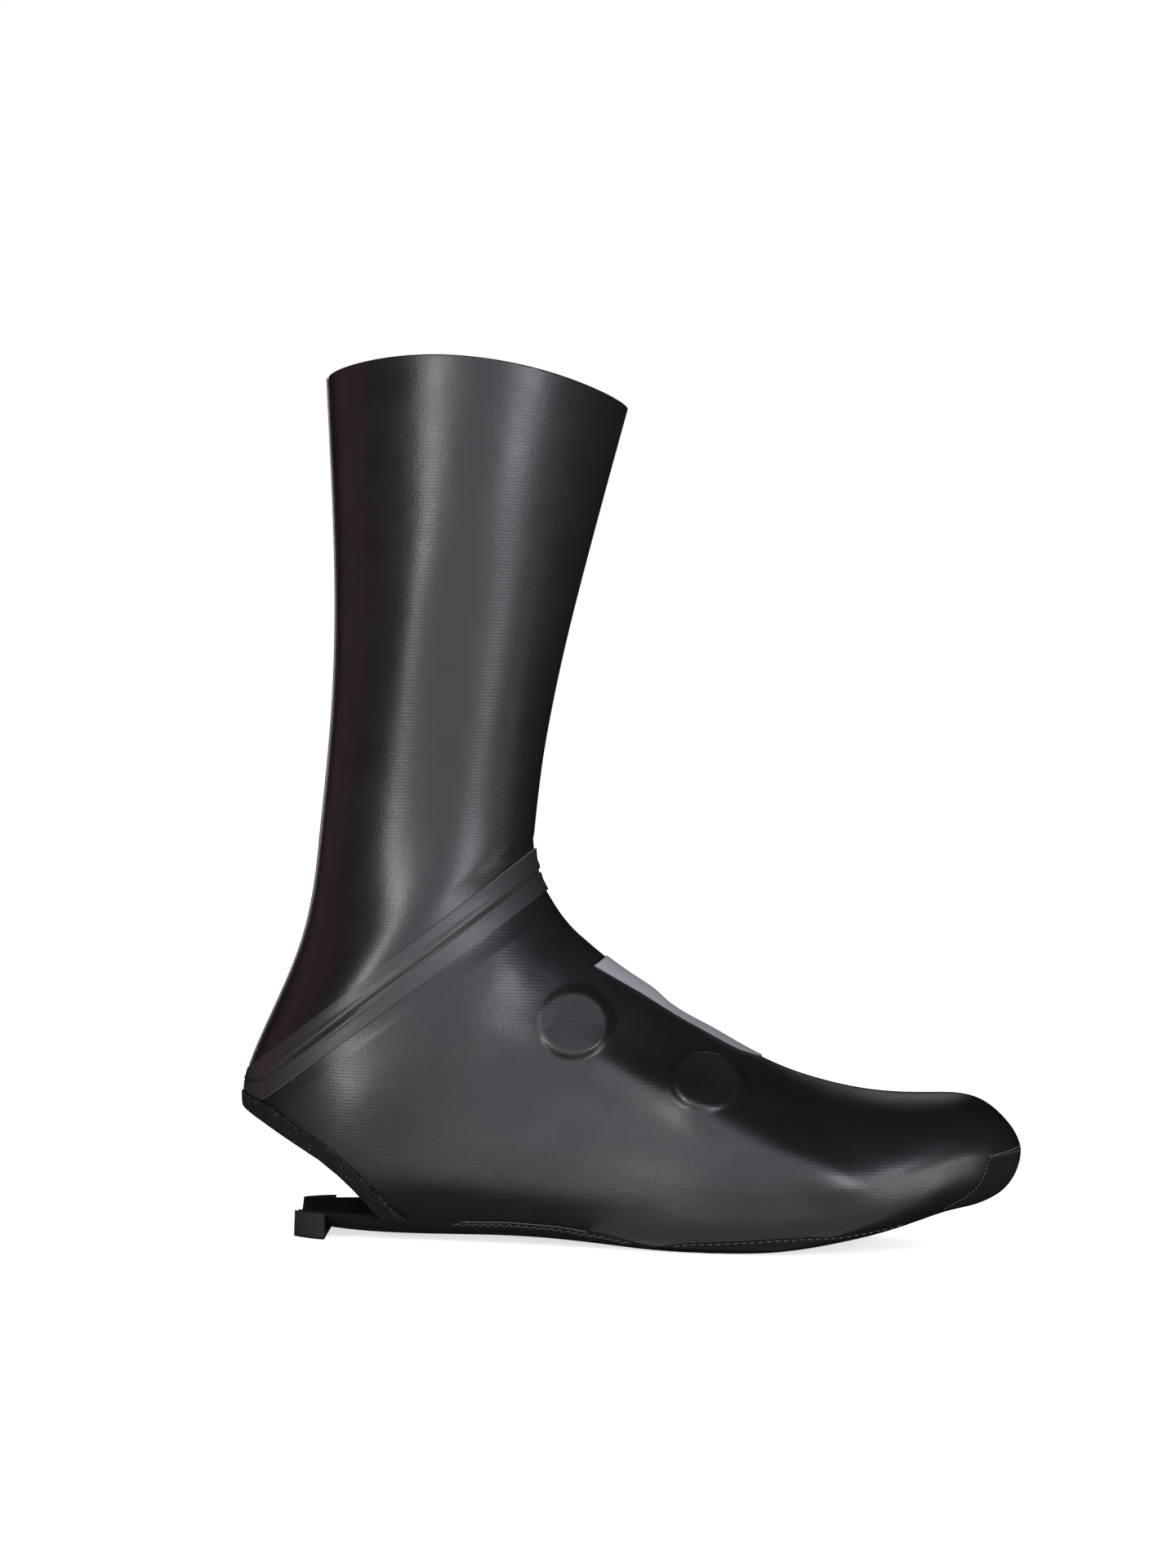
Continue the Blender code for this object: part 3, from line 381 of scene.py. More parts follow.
def bumps(tree, shader, *layers):
    """Layers of relief on a shader, each a height, a depth in metres and a strength."""
    normal = {}
    for height, depth, strength in layers:
        bump = add_node(tree, "Bump", {
            "Height": height, "Distance": depth, "Strength": strength, **normal,
        })
        normal = {"Normal": bump.outputs[0]}
    tree.links.new(bump.outputs[0], shader.inputs["Normal"])


HAZE = 0.035


def coated_finish(name, dark, light, roughness, grain, ribs):
    """Knit under a thin coating: faint clouds of colour, with knit rows and pebbles in relief."""
    made, tree, shader, where = new_finish(name, roughness)
    clouds = {"Vector": where, "Scale": 22.0, "Detail": 4.0, "Roughness": 0.6}
    cloud = add_node(tree, "TexNoise", clouds)
    shades(tree, shader, dark, light, cloud.outputs[0])
    haze = add_node(tree, "TexNoise", {"Vector": where, "Scale": 60.0, "Detail": 5.0})
    gloss = add_node(tree, "MapRange", {
        "Value": haze.outputs[0], "From Min": 0.3, "From Max": 0.7,
        "To Min": roughness - HAZE, "To Max": roughness + HAZE,
    })
    tree.links.new(gloss.outputs[0], shader.inputs["Roughness"])
    rows = add_node(tree, "TexWave", {"Vector": where, "Scale": 260.0}, bands_direction="Z")
    pebbles = add_node(tree, "TexNoise", {"Vector": where, "Scale": 1000.0, "Detail": 1.0})
    soft = add_node(tree, "TexNoise", {"Vector": where, "Scale": 90.0, "Detail": 2.0})
    bumps(
        tree, shader, (soft.outputs[0], 0.00025, 0.5), (rows.outputs[1], ribs, 1.0),
        (pebbles.outputs[0], grain, 1.0),
    )
    return made


def plain_finish(name, dark, light, roughness, grain=0.00003, size=900.0):
    """A matt finish with a mottled colour and a fine grain."""
    made, tree, shader, where = new_finish(name, roughness)
    speck = add_node(tree, "TexNoise", {"Vector": where, "Scale": size, "Detail": 3.0})
    shades(tree, shader, dark, light, speck.outputs[0])
    bumps(tree, shader, (speck.outputs[0], grain, 1.0))
    return made


def dress(piece, node):
    """The piece stands for its solid and rides with the overshoe."""
    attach(piece, "root")
    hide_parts(node)


# A fold fades out along its line this many times more slowly than across it
FOLD_END = 2.2
Fold = namedtuple("Fold", "x1 z1 x2 z2 width height")


def fold_lift(folds, places):
    """Soft troughs and ridges along lines of the side view, width and height in mm."""
    x, z = places[..., 0], places[..., 2]
    lift = np.zeros(x.shape)
    for fold in folds:
        x1, z1 = fold.x1 * FOOT_LENGTH, fold.z1 * INSTEP_HEIGHT
        dx, dz = fold.x2 * FOOT_LENGTH - x1, fold.z2 * INSTEP_HEIGHT - z1
        length = np.hypot(dx, dz)
        along = ((x - x1) * dx + (z - z1) * dz) / length
        away = ((x - x1) * dz - (z - z1) * dx) / length
        width = fold.width / 1000
        past = np.maximum(np.maximum(-along, along - length), 0.0) / FOLD_END
        lift += fold.height / 1000 * np.exp(-(away**2 + past**2) / width**2)
    return lift


# Soft forms of the drawn sleeve on each side: a swell below the collar, a long hollow and a long
# ridge down the back half, and a shallow hollow above the ankle seam
SLEEVE_FOLDS = (
    Fold(0.205, 2.251, 0.185, 1.900, 16.0, 0.3),
    Fold(0.165, 1.600, 0.125, 1.100, 14.0, -0.9),
    Fold(0.095, 1.600, 0.045, 1.050, 13.0, 0.8),
    Fold(0.190, 1.050, 0.215, 1.200, 9.0, -0.3),
)
# The cut edge of the collar is rounded: places along the sleeve and the dip at each
COLLAR_ROWS = np.array([0.0, 0.00015, 0.0004, 0.0008, 0.0013, 0.002])
COLLAR_DIP = np.array([-0.00035, -0.00012, 0.0, 0.0, 0.0, 0.0])
SLEEVE_START = 0.003
SLEEVE_FADE = 0.012
SLEEVE_GRID = (151, 241)

coated_cloth = coated_finish(
    "coated_cloth", (0.0036, 0.0028, 0.0038), (0.0060, 0.0050, 0.0064), 0.33, 0.000040, 0.000010,
)
cut_edge = plain_finish("cut_edge", (0.045, 0.038, 0.036), (0.11, 0.095, 0.09), 0.8)
sleeve_end = skin.row_place(BAND_SEAM_ROW) - SEAM_GAP / 2
sleeve_u = np.concatenate([COLLAR_ROWS, np.linspace(SLEEVE_START, sleeve_end, SLEEVE_GRID[0])])
sleeve_u, sleeve_angle = np.meshgrid(sleeve_u, np.linspace(-pi, pi, SLEEVE_GRID[1]), indexing="ij")
sleeve_lift = fold_lift(SLEEVE_FOLDS, skin.bare_points(sleeve_u, sleeve_angle))
sleeve_lift *= np.clip((skin.row_place(BAND_TOP_ROW) - sleeve_u) / SLEEVE_FADE, 0.0, 1.0)
sleeve_lift[:len(COLLAR_DIP)] += COLLAR_DIP[:, None]
sleeve = skin_wall(
    "leg_sleeve", sleeve_u, sleeve_angle, sleeve_lift - CLOTH_WALL, sleeve_lift,
    (coated_cloth, cut_edge),
)
dress(sleeve, "shaft")


# The foot cover. The same coated knit in one piece from the ankle seam to the toe. Two round bosses
# are pressed into its lateral side, and the stretched cloth stands up round them like a tent.

BINDING_THICKNESS = 0.0010
BINDING_CLEARANCE = 0.0007
# Lines of the side view, x in shares of FOOT_LENGTH and z of INSTEP_HEIGHT
BINDING_LOW_LINE = (
    (-0.1100, 0.3270), (-0.0960, 0.318), (-0.0660, 0.286), (-0.0400, 0.256), (-0.0180, 0.230),
    (0.0030, 0.206), (0.0270, 0.170), (0.0420, 0.144), (0.0580, 0.113), (0.0710, 0.085),
    (0.0830, 0.0600),
)
SOLE_JOINT_LINE = (
    (-0.040, 0.0560), (0.060, 0.0560), (0.126, 0.0560), (0.240, 0.0640), (0.305, 0.0585),
    (0.370, 0.040), (0.404, 0.023), (0.430, 0.016), (0.468, 0.031), (0.527, 0.040), (0.581, 0.049),
    (0.622, 0.054), (0.655, 0.053), (0.725, 0.0745), (0.770, 0.1045), (0.793, 0.119),
    (0.807, 0.136), (0.823, 0.154), (0.834, 0.174), (0.843, 0.199), (0.848, 0.221),
    (0.8485, 0.252),
)
GUARD_TOP_LINE = (
    (0.8485, 0.252), (0.862, 0.256), (0.876, 0.260), (0.890, 0.266), (0.905, 0.272),
)
ARCH_END = 0.428
FOREFOOT_END = 0.792
# The rows of FOOT_TABLE where the plain underside starts and where the tip of the toe does
UNDERSIDE_ROW, TIP_ROW = 7, 23
BOSS_DIAMETER = 0.0232
BOSS_HEIGHT = 0.0028
BOSS_STEP = 0.0007
BOSS_SKIRT = 0.0024
BOSS_BLEND = 0.0040
TENT_HEIGHT = 0.0012
TENT_REACH = 0.014
TENT_FALL = 1.3
# x and z of the middle in the side view, and the way that the flat face looks
BOSSES = {
    "rear": (0.3150, 0.563, (0.12, -0.90, 0.40)),
    "front": (0.4830, 0.420, (0.12, -0.80, 0.58)),
}


def line_points(shares, fine=40):
    """A line of the side view in metres, with straight runs cut into short steps."""
    ends = np.array(shares) * (FOOT_LENGTH, INSTEP_HEIGHT)
    steps = np.linspace(0, 1, fine, endpoint=False)[:, None]
    runs = [a + (b - a) * steps for a, b in zip(ends, ends[1:])]
    return np.vstack(runs + [ends[-1:]])


def walked(places):
    """The way along a line of places, up to each."""
    steps = np.linalg.norm(np.diff(places, axis=0), axis=1)
    return np.concatenate([[0.0], np.cumsum(steps)])


def stations(line, count):
    """Equal steps along a line of the side view on the skin, from its start at the back edge."""
    found = np.array([skin.locate(x, z) for x, z in line])
    last = np.where(found[:, 2] <= 0)[0][-1]
    start = [[(found[last, 0] + found[last + 1, 0]) / 2, pi]]
    found = np.vstack([start, found[last + 1:, 0:2]])
    steps = walked(skin.bare_points(*found.T))
    at = np.linspace(0, steps[-1], count)
    return np.interp(at, steps, found[:, 0]), np.interp(at, steps, found[:, 1])


def at_underside(x):
    """u of the section whose underside point lies at x, ahead of the heel."""
    below = skin.fine > skin.row_place(UNDERSIDE_ROW)
    return np.interp(x, skin.fine_rows[below, 2], skin.fine[below])


def heel_cut():
    """The cover's own edge at the heel, which the binding's fold goes round."""
    line = line_points(BINDING_LOW_LINE)
    way = np.gradient(line, axis=0)
    inward = unit(np.stack([-way[:, 1], way[:, 0]], axis=1))
    return line + inward * (BINDING_THICKNESS + BINDING_CLEARANCE)


def side_edges(u, line, gap):
    """The angle of a lower edge at each u, moved up the skin by gap."""
    found = np.array([skin.crossing(place, line) for place in u])
    return found - gap / skin.spread(u, found)


def guard_corner():
    """(u, angle) of the toe guard's corner at the end of its top edge."""
    x, z = np.array(GUARD_TOP_LINE[0]) * (FOOT_LENGTH, INSTEP_HEIGHT)
    return skin.locate(x, z)[0:2]


def guard_top(angles):
    """u at which the toe guard's top edge has each of these angles from the dorsal edge."""
    places = np.linspace(guard_corner()[0], skin.row_place(TIP_ROW), 120)
    line = line_points(GUARD_TOP_LINE)
    crossed = np.array([skin.crossing(place, line) for place in places])
    last = np.argmax(crossed < 1e-3) if (crossed < 1e-3).any() else len(crossed) - 1
    return np.interp(np.abs(angles), crossed[last::-1], places[last::-1])


def toe_edge(gap, rise_rows, over_columns):
    """The joint of cover and toe guard on one side: up to the guard's corner, then over the toe. A
    positive gap moves it towards the cover."""
    corner, corner_angle = guard_corner()
    start = at_underside(FOREFOOT_END * FOOT_LENGTH)
    rise_u = corner - (corner - start) * np.linspace(1, 0, rise_rows + 1) ** 2
    rise_angle = side_edges(rise_u, line_points(SOLE_JOINT_LINE), gap)
    rise_angle[-1] = corner_angle - gap / skin.spread(corner, corner_angle)
    rise_u[-1] -= gap
    over_angle = over_columns * rise_angle[-1]
    over_u = guard_top(over_angle) - 2 * gap
    over_u[0] = rise_u[-1]
    return rise_u, rise_angle, over_u, over_angle


def boss_lift(u, angle, places, normals):
    """The height of the bosses: a flat face on a wide tent of cloth, crisp at the lower left."""
    tent = np.zeros(u.shape)
    caps = []
    for x, z, facing in BOSSES.values():
        at, turn, _ = skin.locate(x * FOOT_LENGTH, z * INSTEP_HEIGHT)
        centre = skin.points(at, -turn, 0.0)
        axis = np.array(facing) / np.linalg.norm(facing)
        offset = places - centre
        height = offset @ axis
        lean = np.maximum(normals @ axis, 0.3)
        away = np.linalg.norm(offset - height[..., None] * axis, axis=-1)
        # 1 at the lower left of the boss, 0 at its upper right
        tight = np.clip(0.75 - (offset[..., 0] + offset[..., 2]) / BOSS_DIAMETER, 0.0, 1.0)
        skirt = BOSS_SKIRT + BOSS_BLEND * (1 - tight) ** 2
        share = np.clip((BOSS_DIAMETER / 2 + skirt - away) / skirt, 0.0, 1.0)
        caps.append(((BOSS_HEIGHT - height) / lean, share**2 * (3 - 2 * share) * (angle < 0)))
        far = np.maximum(away - BOSS_DIAMETER / 2, 0.0)
        slope = np.exp(-(far / TENT_REACH) ** TENT_FALL)
        tent = np.maximum(tent, TENT_HEIGHT * slope * (angle < 0))
    lift = tent
    for face, share in caps:
        lift = lift + (np.clip(face, tent + BOSS_STEP, 3 * BOSS_HEIGHT) - lift) * share
    return lift


# Tension creases round the bosses, between them and down to the ball of the foot, a broad swell
# behind them, a hollow over the arch, and one small crease below the ankle band. They show on the
# medial side too, fainter.
COVER_FOLDS = (
    Fold(0.236, 0.850, 0.218, 0.715, 7.0, 0.3),
    Fold(0.300, 0.830, 0.282, 0.690, 8.0, -1.1),
    Fold(0.205, 0.560, 0.232, 0.548, 7.0, 0.5),
    Fold(0.385, 0.452, 0.450, 0.378, 6.5, 1.4),
    Fold(0.485, 0.368, 0.630, 0.225, 9.0, 2.3),
    Fold(0.230, 0.694, 0.056, 0.361, 16.0, 1.2),
    Fold(0.150, 0.090, 0.400, 0.085, 7.0, -0.8),
    Fold(0.405, 0.697, 0.415, 0.676, 2.4, 0.8),
)
MEDIAL_FAINTER = 0.45
COVER_FADE = 0.006


def cover_lift(u, angle):
    """The height of the cover over the skin, flat under the ankle band."""
    places, normals = skin.bare_points(u, angle), skin.normals(u, angle)
    creases = fold_lift(COVER_FOLDS, places) * np.where(angle < 0, 1.0, MEDIAL_FAINTER)
    start = np.clip((u - skin.row_place(BAND_FOOT_ROW)) / COVER_FADE, 0.0, 1.0)
    return (creases + boss_lift(u, angle, places, normals)) * start


LATERAL_COLUMNS, MEDIAL_COLUMNS = 180, 72
HEEL_ROWS, FORE_ROWS, RISE_ROWS = 111, 130, 30
across = np.concatenate([
    np.linspace(-1, 0, LATERAL_COLUMNS + 1), np.linspace(0, 1, MEDIAL_COLUMNS + 1)[1:],
])
sole_joint = line_points(SOLE_JOINT_LINE)
cut_u, cut_turn = stations(heel_cut(), HEEL_ROWS)
ring = np.linspace(skin.row_place(BAND_SEAM_ROW) + SEAM_GAP / 2, cut_u[0], 7)[:-1]
front = np.linspace(cut_u[0], cut_u[-1], len(cut_u))
heel = front[:, None] + (cut_u - front)[:, None] * np.abs(across) ** 3
fore = np.linspace(cut_u[-1], at_underside(FOREFOOT_END * FOOT_LENGTH), FORE_ROWS)[1:]
fore_edges = side_edges(fore, sole_joint, SEAM_GAP / 2)
rise_u, rise_angle, lateral_over, _ = toe_edge(
    SEAM_GAP / 2, RISE_ROWS, -across[:LATERAL_COLUMNS + 1],
)
_, _, medial_over, _ = toe_edge(SEAM_GAP / 2, RISE_ROWS, across[:LATERAL_COLUMNS - 1:-1])
ends = np.concatenate([lateral_over, medial_over[-2::-1]])
toe = rise_u[-1] + (ends - rise_u[-1]) * np.linspace(0, 1, 13)[1:, None]
plain = np.ones(len(across))
cover_u = np.vstack([
    ring[:, None] * plain, heel, fore[:, None] * plain, rise_u[1:, None] * plain, toe,
])
edges = np.concatenate([
    np.full(len(ring), pi), cut_turn, fore_edges, rise_angle[1:], np.full(len(toe), rise_angle[-1]),
])
cover_angle = edges[:, None] * across
lift = cover_lift(cover_u, cover_angle)
cover = skin_wall(
    "foot_cover", cover_u, cover_angle, lift - CLOTH_WALL, lift, (coated_cloth, cut_edge),
)
dress(cover, "upper")


# The ankle band. A strip of stretch tape bonded over the seam of sleeve and foot cover. The seam's
# edge shows through along its middle as a ridge with pinched folds.

BAND_THICKNESS = 0.0006
BAND_CLEARANCE = 0.0004
BINDING_TOP_LINE = (
    (-0.1150, 0.3700), (-0.1020, 0.362), (-0.0610, 0.335), (-0.0290, 0.293), (0.0030, 0.259),
    (0.0340, 0.210), (0.0520, 0.179), (0.0720, 0.141), (0.0900, 0.104), (0.1050, 0.078),
    (0.1210, 0.0600),
)
# A tape's underside is sunk this much into its clearance, so that no light shows below it
TAPE_SINK = 0.0001
# The relief fades out in these shares of the band's width and of its half round
BAND_FADE, BACK_FADE = 0.12, 0.06
BAND_RELIEF = (
    # height, place below the seam and width, both in shares of the band's width
    (0.00045, -0.06, 0.09),
    (-0.0009, 0.055, 0.035),
    (0.00025, 0.14, 0.06),
)


def waves(places, seed, count=5, low=1.0, high=6.0):
    """A smooth wavering value from -1 to 1 along places that run from -1 to 1."""
    draw = np.random.default_rng(seed)
    total = np.zeros(np.shape(places))
    for k in range(count):
        pitch = draw.uniform(low, high)
        total = total + np.sin(pi * pitch * places + draw.uniform(0, 2 * pi))
    return total / count


bonded_tape = coated_finish(
    "bonded_tape", (0.0085, 0.0072, 0.0088), (0.013, 0.0115, 0.0135), 0.42, 0.00004, 0.000004,
)
tape_edge = plain_finish("tape_edge", (0.07, 0.062, 0.06), (0.16, 0.145, 0.14), 0.7)
band_round = np.linspace(-1, 1, 481)
band_share = np.linspace(0, 1, 41)
top_u, top_turn = stations(line_points(BINDING_TOP_LINE), 111)
band_limit = np.interp(np.abs(band_round * pi), top_turn[::-1], top_u[::-1]) - 2 * SEAM_GAP
band_start = skin.row_place(BAND_TOP_ROW)
band_end = np.minimum(skin.row_place(BAND_FOOT_ROW), band_limit)
band_u = band_start + (band_end - band_start) * band_share[:, None]
band_angle = np.broadcast_to(pi * band_round, band_u.shape)
seam_at = 0.50 + 0.02 * waves(band_round, 3)
pinch = np.clip(0.65 + 0.6 * waves(band_round, 8, 6, 3.0, 11.0), 0.1, 1.3)
beside = band_share[:, None] - seam_at
seam_ridge, seam_crease, lower_ridge = (
    height * np.exp(-((beside - place) / width) ** 2) for height, place, width in BAND_RELIEF
)
fade = np.minimum(band_share, 1 - band_share)[:, None] / BAND_FADE
fade = np.clip(fade, 0.0, 1.0) * np.clip((1.0 - np.abs(band_round)) / BACK_FADE, 0.15, 1.0)
relief = (seam_ridge + (seam_crease + lower_ridge) * pinch) * fade
band_low = np.full(band_u.shape, BAND_CLEARANCE) - TAPE_SINK
band = skin_wall(
    "ankle_tape", band_u, band_angle, band_low, BAND_CLEARANCE + BAND_THICKNESS + relief,
    (bonded_tape, tape_edge),
)
dress(band, "ankle_band")


# The back seam. A narrow strip of the same tape, bonded down the back of the sleeve from the collar
# to the ankle band.

TAPE_WIDTH = 0.008
TAPE_THICKNESS = 0.0004
TAPE_CROWN = 0.0001
tape_across = np.linspace(-1, 1, 17)
tape_u = np.linspace(SEAM_GAP, skin.row_place(BAND_TOP_ROW) - 2 * SEAM_GAP, 141)[:, None]
tape_half = TAPE_WIDTH / 2 / skin.spread(tape_u, pi - 0.05)
tape_angle = pi + tape_half * tape_across
tape_u = np.broadcast_to(tape_u, tape_angle.shape)
tape_angle = np.where(tape_angle > pi, tape_angle - 2 * pi, tape_angle)
tape_crown = TAPE_CROWN * (1 - tape_across ** 4)
tape_high = np.broadcast_to(SEAM_GAP + TAPE_THICKNESS + tape_crown, tape_u.shape)
back_tape = skin_wall(
    "back_seam", tape_u, tape_angle, np.full(tape_u.shape, SEAM_GAP - TAPE_SINK), tape_high,
    (bonded_tape, tape_edge), keep=2,
)
dress(back_tape, "back_seam_tape")


# The instep panel. A thin light grey film, heat-pressed on the instep in a long shape that comes to a
# point towards the toe.

PANEL_THICKNESS = 0.0004
PANEL_LINE = (
    (0.330, 0.722), (0.403, 0.643), (0.454, 0.582), (0.514, 0.518), (0.530, 0.503),
    (0.5630, 0.4830),
)
PANEL_START = 0.356
PANEL_END = 0.560
# The rows of FOOT_TABLE between which the top of the foot is searched
TOP_ROWS = 5, 22


def at_top(x):
    """u of the section whose dorsal point lies at x, ahead of the ankle."""
    low, high = (skin.row_place(row) for row in TOP_ROWS)
    ahead = (skin.fine > low) & (skin.fine < high)
    return np.interp(x, skin.fine_rows[ahead, 0], skin.fine[ahead])


grey_film = plain_finish(
    "grey_film", (0.118, 0.124, 0.134), (0.145, 0.151, 0.161), 0.45, 0.00002, 1400.0,
)
film_edge = plain_finish("film_edge", (0.10, 0.105, 0.115), (0.14, 0.145, 0.155), 0.6)
panel_u = np.linspace(at_top(PANEL_START * FOOT_LENGTH), at_top(PANEL_END * FOOT_LENGTH), 121)
panel_edges = np.array([skin.crossing(place, line_points(PANEL_LINE)) for place in panel_u])
panel_edges[-1] = max(panel_edges[-1], 0.02)
panel_u, panel_angle = np.meshgrid(panel_u, np.linspace(-1, 1, 49), indexing="ij")
panel_angle = panel_angle * panel_edges[:, None]
panel_lift = cover_lift(panel_u, panel_angle) + SEAM_GAP
panel = skin_wall(
    "instep_film", panel_u, panel_angle, panel_lift - TAPE_SINK, panel_lift + PANEL_THICKNESS,
    (grey_film, film_edge),
)
dress(panel, "instep_panel")


# The sole. A knit strap under heel and arch, a woven abrasion piece under the ball of the foot, and
# a cap of the same weave over the tip of the toe, each a tray that is sewn to the cover's edge.

SOLE_WALL = 0.0019
TOE_WALL = 0.0014
GRIP_REAR = -0.0085
# The row of FOOT_TABLE from which the strap's edge is followed
STRAP_ROW = 6
STRAP_ROWS, ARCH_ROWS, FOREFOOT_ROWS = 49, 61, 121
# A band texture repeats after this many metres over its scale
BAND_REPEAT = 0.314
LINT_GRAIN = 0.0001


def woven_finish(name, dark, light, roughness, pitch, depth):
    """A matt plain weave: threads that cross at a pitch in metres, with a little lint."""
    made, tree, shader, where = new_finish(name, roughness)
    shader.inputs["Specular IOR Level"].default_value = 0.14
    threads = {"Vector": where, "Scale": BAND_REPEAT / pitch, "Distortion": 0.6}
    warp, weft, side = (add_node(tree, "TexWave", threads, bands_direction=way) for way in "XZY")
    thread = add_node(tree, "Math", {0: warp.outputs[1], 1: weft.outputs[1]}, operation="MULTIPLY")
    thread = add_node(tree, "Math", {0: thread.outputs[0], 1: side.outputs[1]}, operation="ADD")
    speck = add_node(tree, "TexNoise", {"Vector": where, "Scale": 700.0, "Detail": 4.0})
    shades(tree, shader, dark, light, speck.outputs[0])
    bumps(tree, shader, (thread.outputs[0], depth, 1.0), (speck.outputs[0], LINT_GRAIN, 1.0))
    return made


black_knit = woven_finish(
    "black_knit", (0.002, 0.002, 0.0022), (0.0065, 0.0062, 0.0066), 0.9, 0.0011, 0.00015,
)
black_woven = woven_finish(
    "black_woven", (0.0016, 0.0012, 0.0017), (0.0040, 0.0034, 0.0042), 0.85, 0.0008, 0.0001,
)
sole_across = np.linspace(-1, 1, 97)


def sole_edges(places):
    """The angle of the sole's upper edge at each u."""
    return side_edges(places, sole_joint, -SEAM_GAP / 2)


def tray_angle(edges):
    """The angles across the sole, from edge to edge through the underside."""
    return np.where(sole_across < 0, -pi, pi) - (pi - edges) * sole_across


def on_rows(values):
    """A value for each row, spread over the columns of a sole piece."""
    return np.broadcast_to(values[:, None], (len(values), len(sole_across)))


def sole_piece(name, u, angle, thickness, finish):
    """A piece of the sole, with its outside on the skin."""
    return skin_wall(name, u, angle, np.full(u.shape, -thickness), np.zeros(u.shape), (finish,))


arch_start, arch_end = cut_u[-1], at_underside(ARCH_END * FOOT_LENGTH)
forefoot_end = at_underside(FOREFOOT_END * FOOT_LENGTH)
# The strap ends straight across, where the grip's rear face is
strap_fine = np.linspace(skin.row_place(STRAP_ROW), arch_start, 160)
strap_edges = sole_edges(strap_fine)
strap_x = skin.points(on_rows(strap_fine), tray_angle(strap_edges[:, None]))[..., 0]
strap_start = np.array([np.interp(GRIP_REAR + SEAM_GAP, x, strap_fine) for x in strap_x.T])
strap_u = strap_start + (arch_start - strap_start) * np.linspace(0, 1, STRAP_ROWS)[:-1, None]
arch_places = np.linspace(arch_start, arch_end - SEAM_GAP / 2, ARCH_ROWS)
arch_u = np.vstack([strap_u, on_rows(arch_places)])
arch_edges = np.vstack([
    np.interp(strap_u, strap_fine, strap_edges), on_rows(sole_edges(arch_places)),
])
arch = sole_piece("arch_strap", arch_u, tray_angle(arch_edges), SOLE_WALL, black_knit)
dress(arch, "sole_arch")
fore_places = np.linspace(arch_end + SEAM_GAP / 2, forefoot_end - SEAM_GAP / 2, FOREFOOT_ROWS)
fore_angle = tray_angle(sole_edges(fore_places)[:, None])
forefoot = sole_piece("forefoot_piece", on_rows(fore_places), fore_angle, SOLE_WALL, black_woven)
dress(forefoot, "sole_forefoot")

# The toe guard starts at the cover's edge: under the toe, up the side to the corner, over the toe
BELOW_COLUMNS = 16
over_columns = np.linspace(1, 0, 49)
rise_u, rise_angle, over_u, over_angle = toe_edge(-SEAM_GAP / 2, RISE_ROWS, over_columns)
below = np.linspace(rise_angle[0], pi, BELOW_COLUMNS + 1)[1:]
guard_angle = np.concatenate([over_angle[::-1], rise_angle[-2::-1], below])
guard_start = np.concatenate([over_u[::-1], rise_u[-2::-1], np.full(BELOW_COLUMNS, rise_u[0])])
guard_start[-BELOW_COLUMNS - 1:] += SEAM_GAP / 2
guard_angle = np.concatenate([-guard_angle[:0:-1], guard_angle])
guard_start = np.concatenate([guard_start[:0:-1], guard_start])
guard_u = np.maximum(guard_start, np.linspace(guard_start.min(), skin.end, 49)[:, None])
guard_angle = np.broadcast_to(guard_angle, guard_u.shape)
guard = sole_piece("toe_cap", guard_u, guard_angle, TOE_WALL, black_woven)
dress(guard, "toe_guard")


# Sewing on the sole. Short dashes along the forefoot piece and the toe guard, a zigzag along the
# arch, and the cover's raw edge, a thin light cord where it meets arch and toe guard.

THREAD_RADIUS = 0.00013
EDGE_RADIUS = 0.00010
EDGE_LIFT = 0.0001
SEAM_INSET = 0.0009
ZIGZAG_INSET, ZIGZAG_DROP, ZIGZAG_PITCH, ZIGZAG_LIFT = 0.0012, 0.0019, 0.00155, 0.0002
DASH_LIFT = 0.00022
# The pitch of the dashes and the share of it that each one fills
FOREFOOT_DASH, GUARD_DASH = (0.0031, 0.68), (0.0016, 0.6)
# Where each row of sewing starts and ends along the underside, in shares of FOOT_LENGTH
FOREFOOT_SEWN, ARCH_SEWN, EDGE_SHOWN = (0.445, 0.745), (0.150, 0.395), (0.160, 0.330)
# A way that no thread runs along
ANY_WAY = (0.31, 0.52, 0.79)


def tube_faces(first, rings, corners):
    """The faces of a tube through rings of points, closed at both ends."""
    last = first + (rings - 1) * corners
    faces = [[end + k for k in range(corners)] for end in (first, last)]
    for here in range(first, last, corners):
        for k in range(corners):
            after = (k + 1) % corners
            faces.append([here + k, here + after, here + corners + after, here + corners + k])
    return faces


def threads(name, paths, radius, finish, slot, corners=6):
    """Many short round threads as one piece, each thinner at its ends."""
    points, faces = [], []
    for path in paths:
        way = unit(np.gradient(path, axis=0))
        side = unit(np.cross(way, ANY_WAY))
        up = np.cross(way, side)
        turn = 2 * pi * np.arange(corners) / corners
        thin = np.ones(len(path))
        thin[[0, -1]] = 0.5
        ring = np.cos(turn)[:, None] * side[:, None] + np.sin(turn)[:, None] * up[:, None]
        faces += tube_faces(len(points), len(path), corners)
        points.extend((path[:, None] + radius * thin[:, None, None] * ring).reshape(-1, 3).tolist())
    made = new_piece(name, points, faces, (finish,), None)
    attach(made, "root")


def even_steps(u, angle, pitch):
    """Places at an even pitch along a line on the skin."""
    steps = walked(skin.bare_points(u, angle))
    at = np.arange(0.0, steps[-1], pitch)
    return np.interp(at, steps, u), np.interp(at, steps, angle)


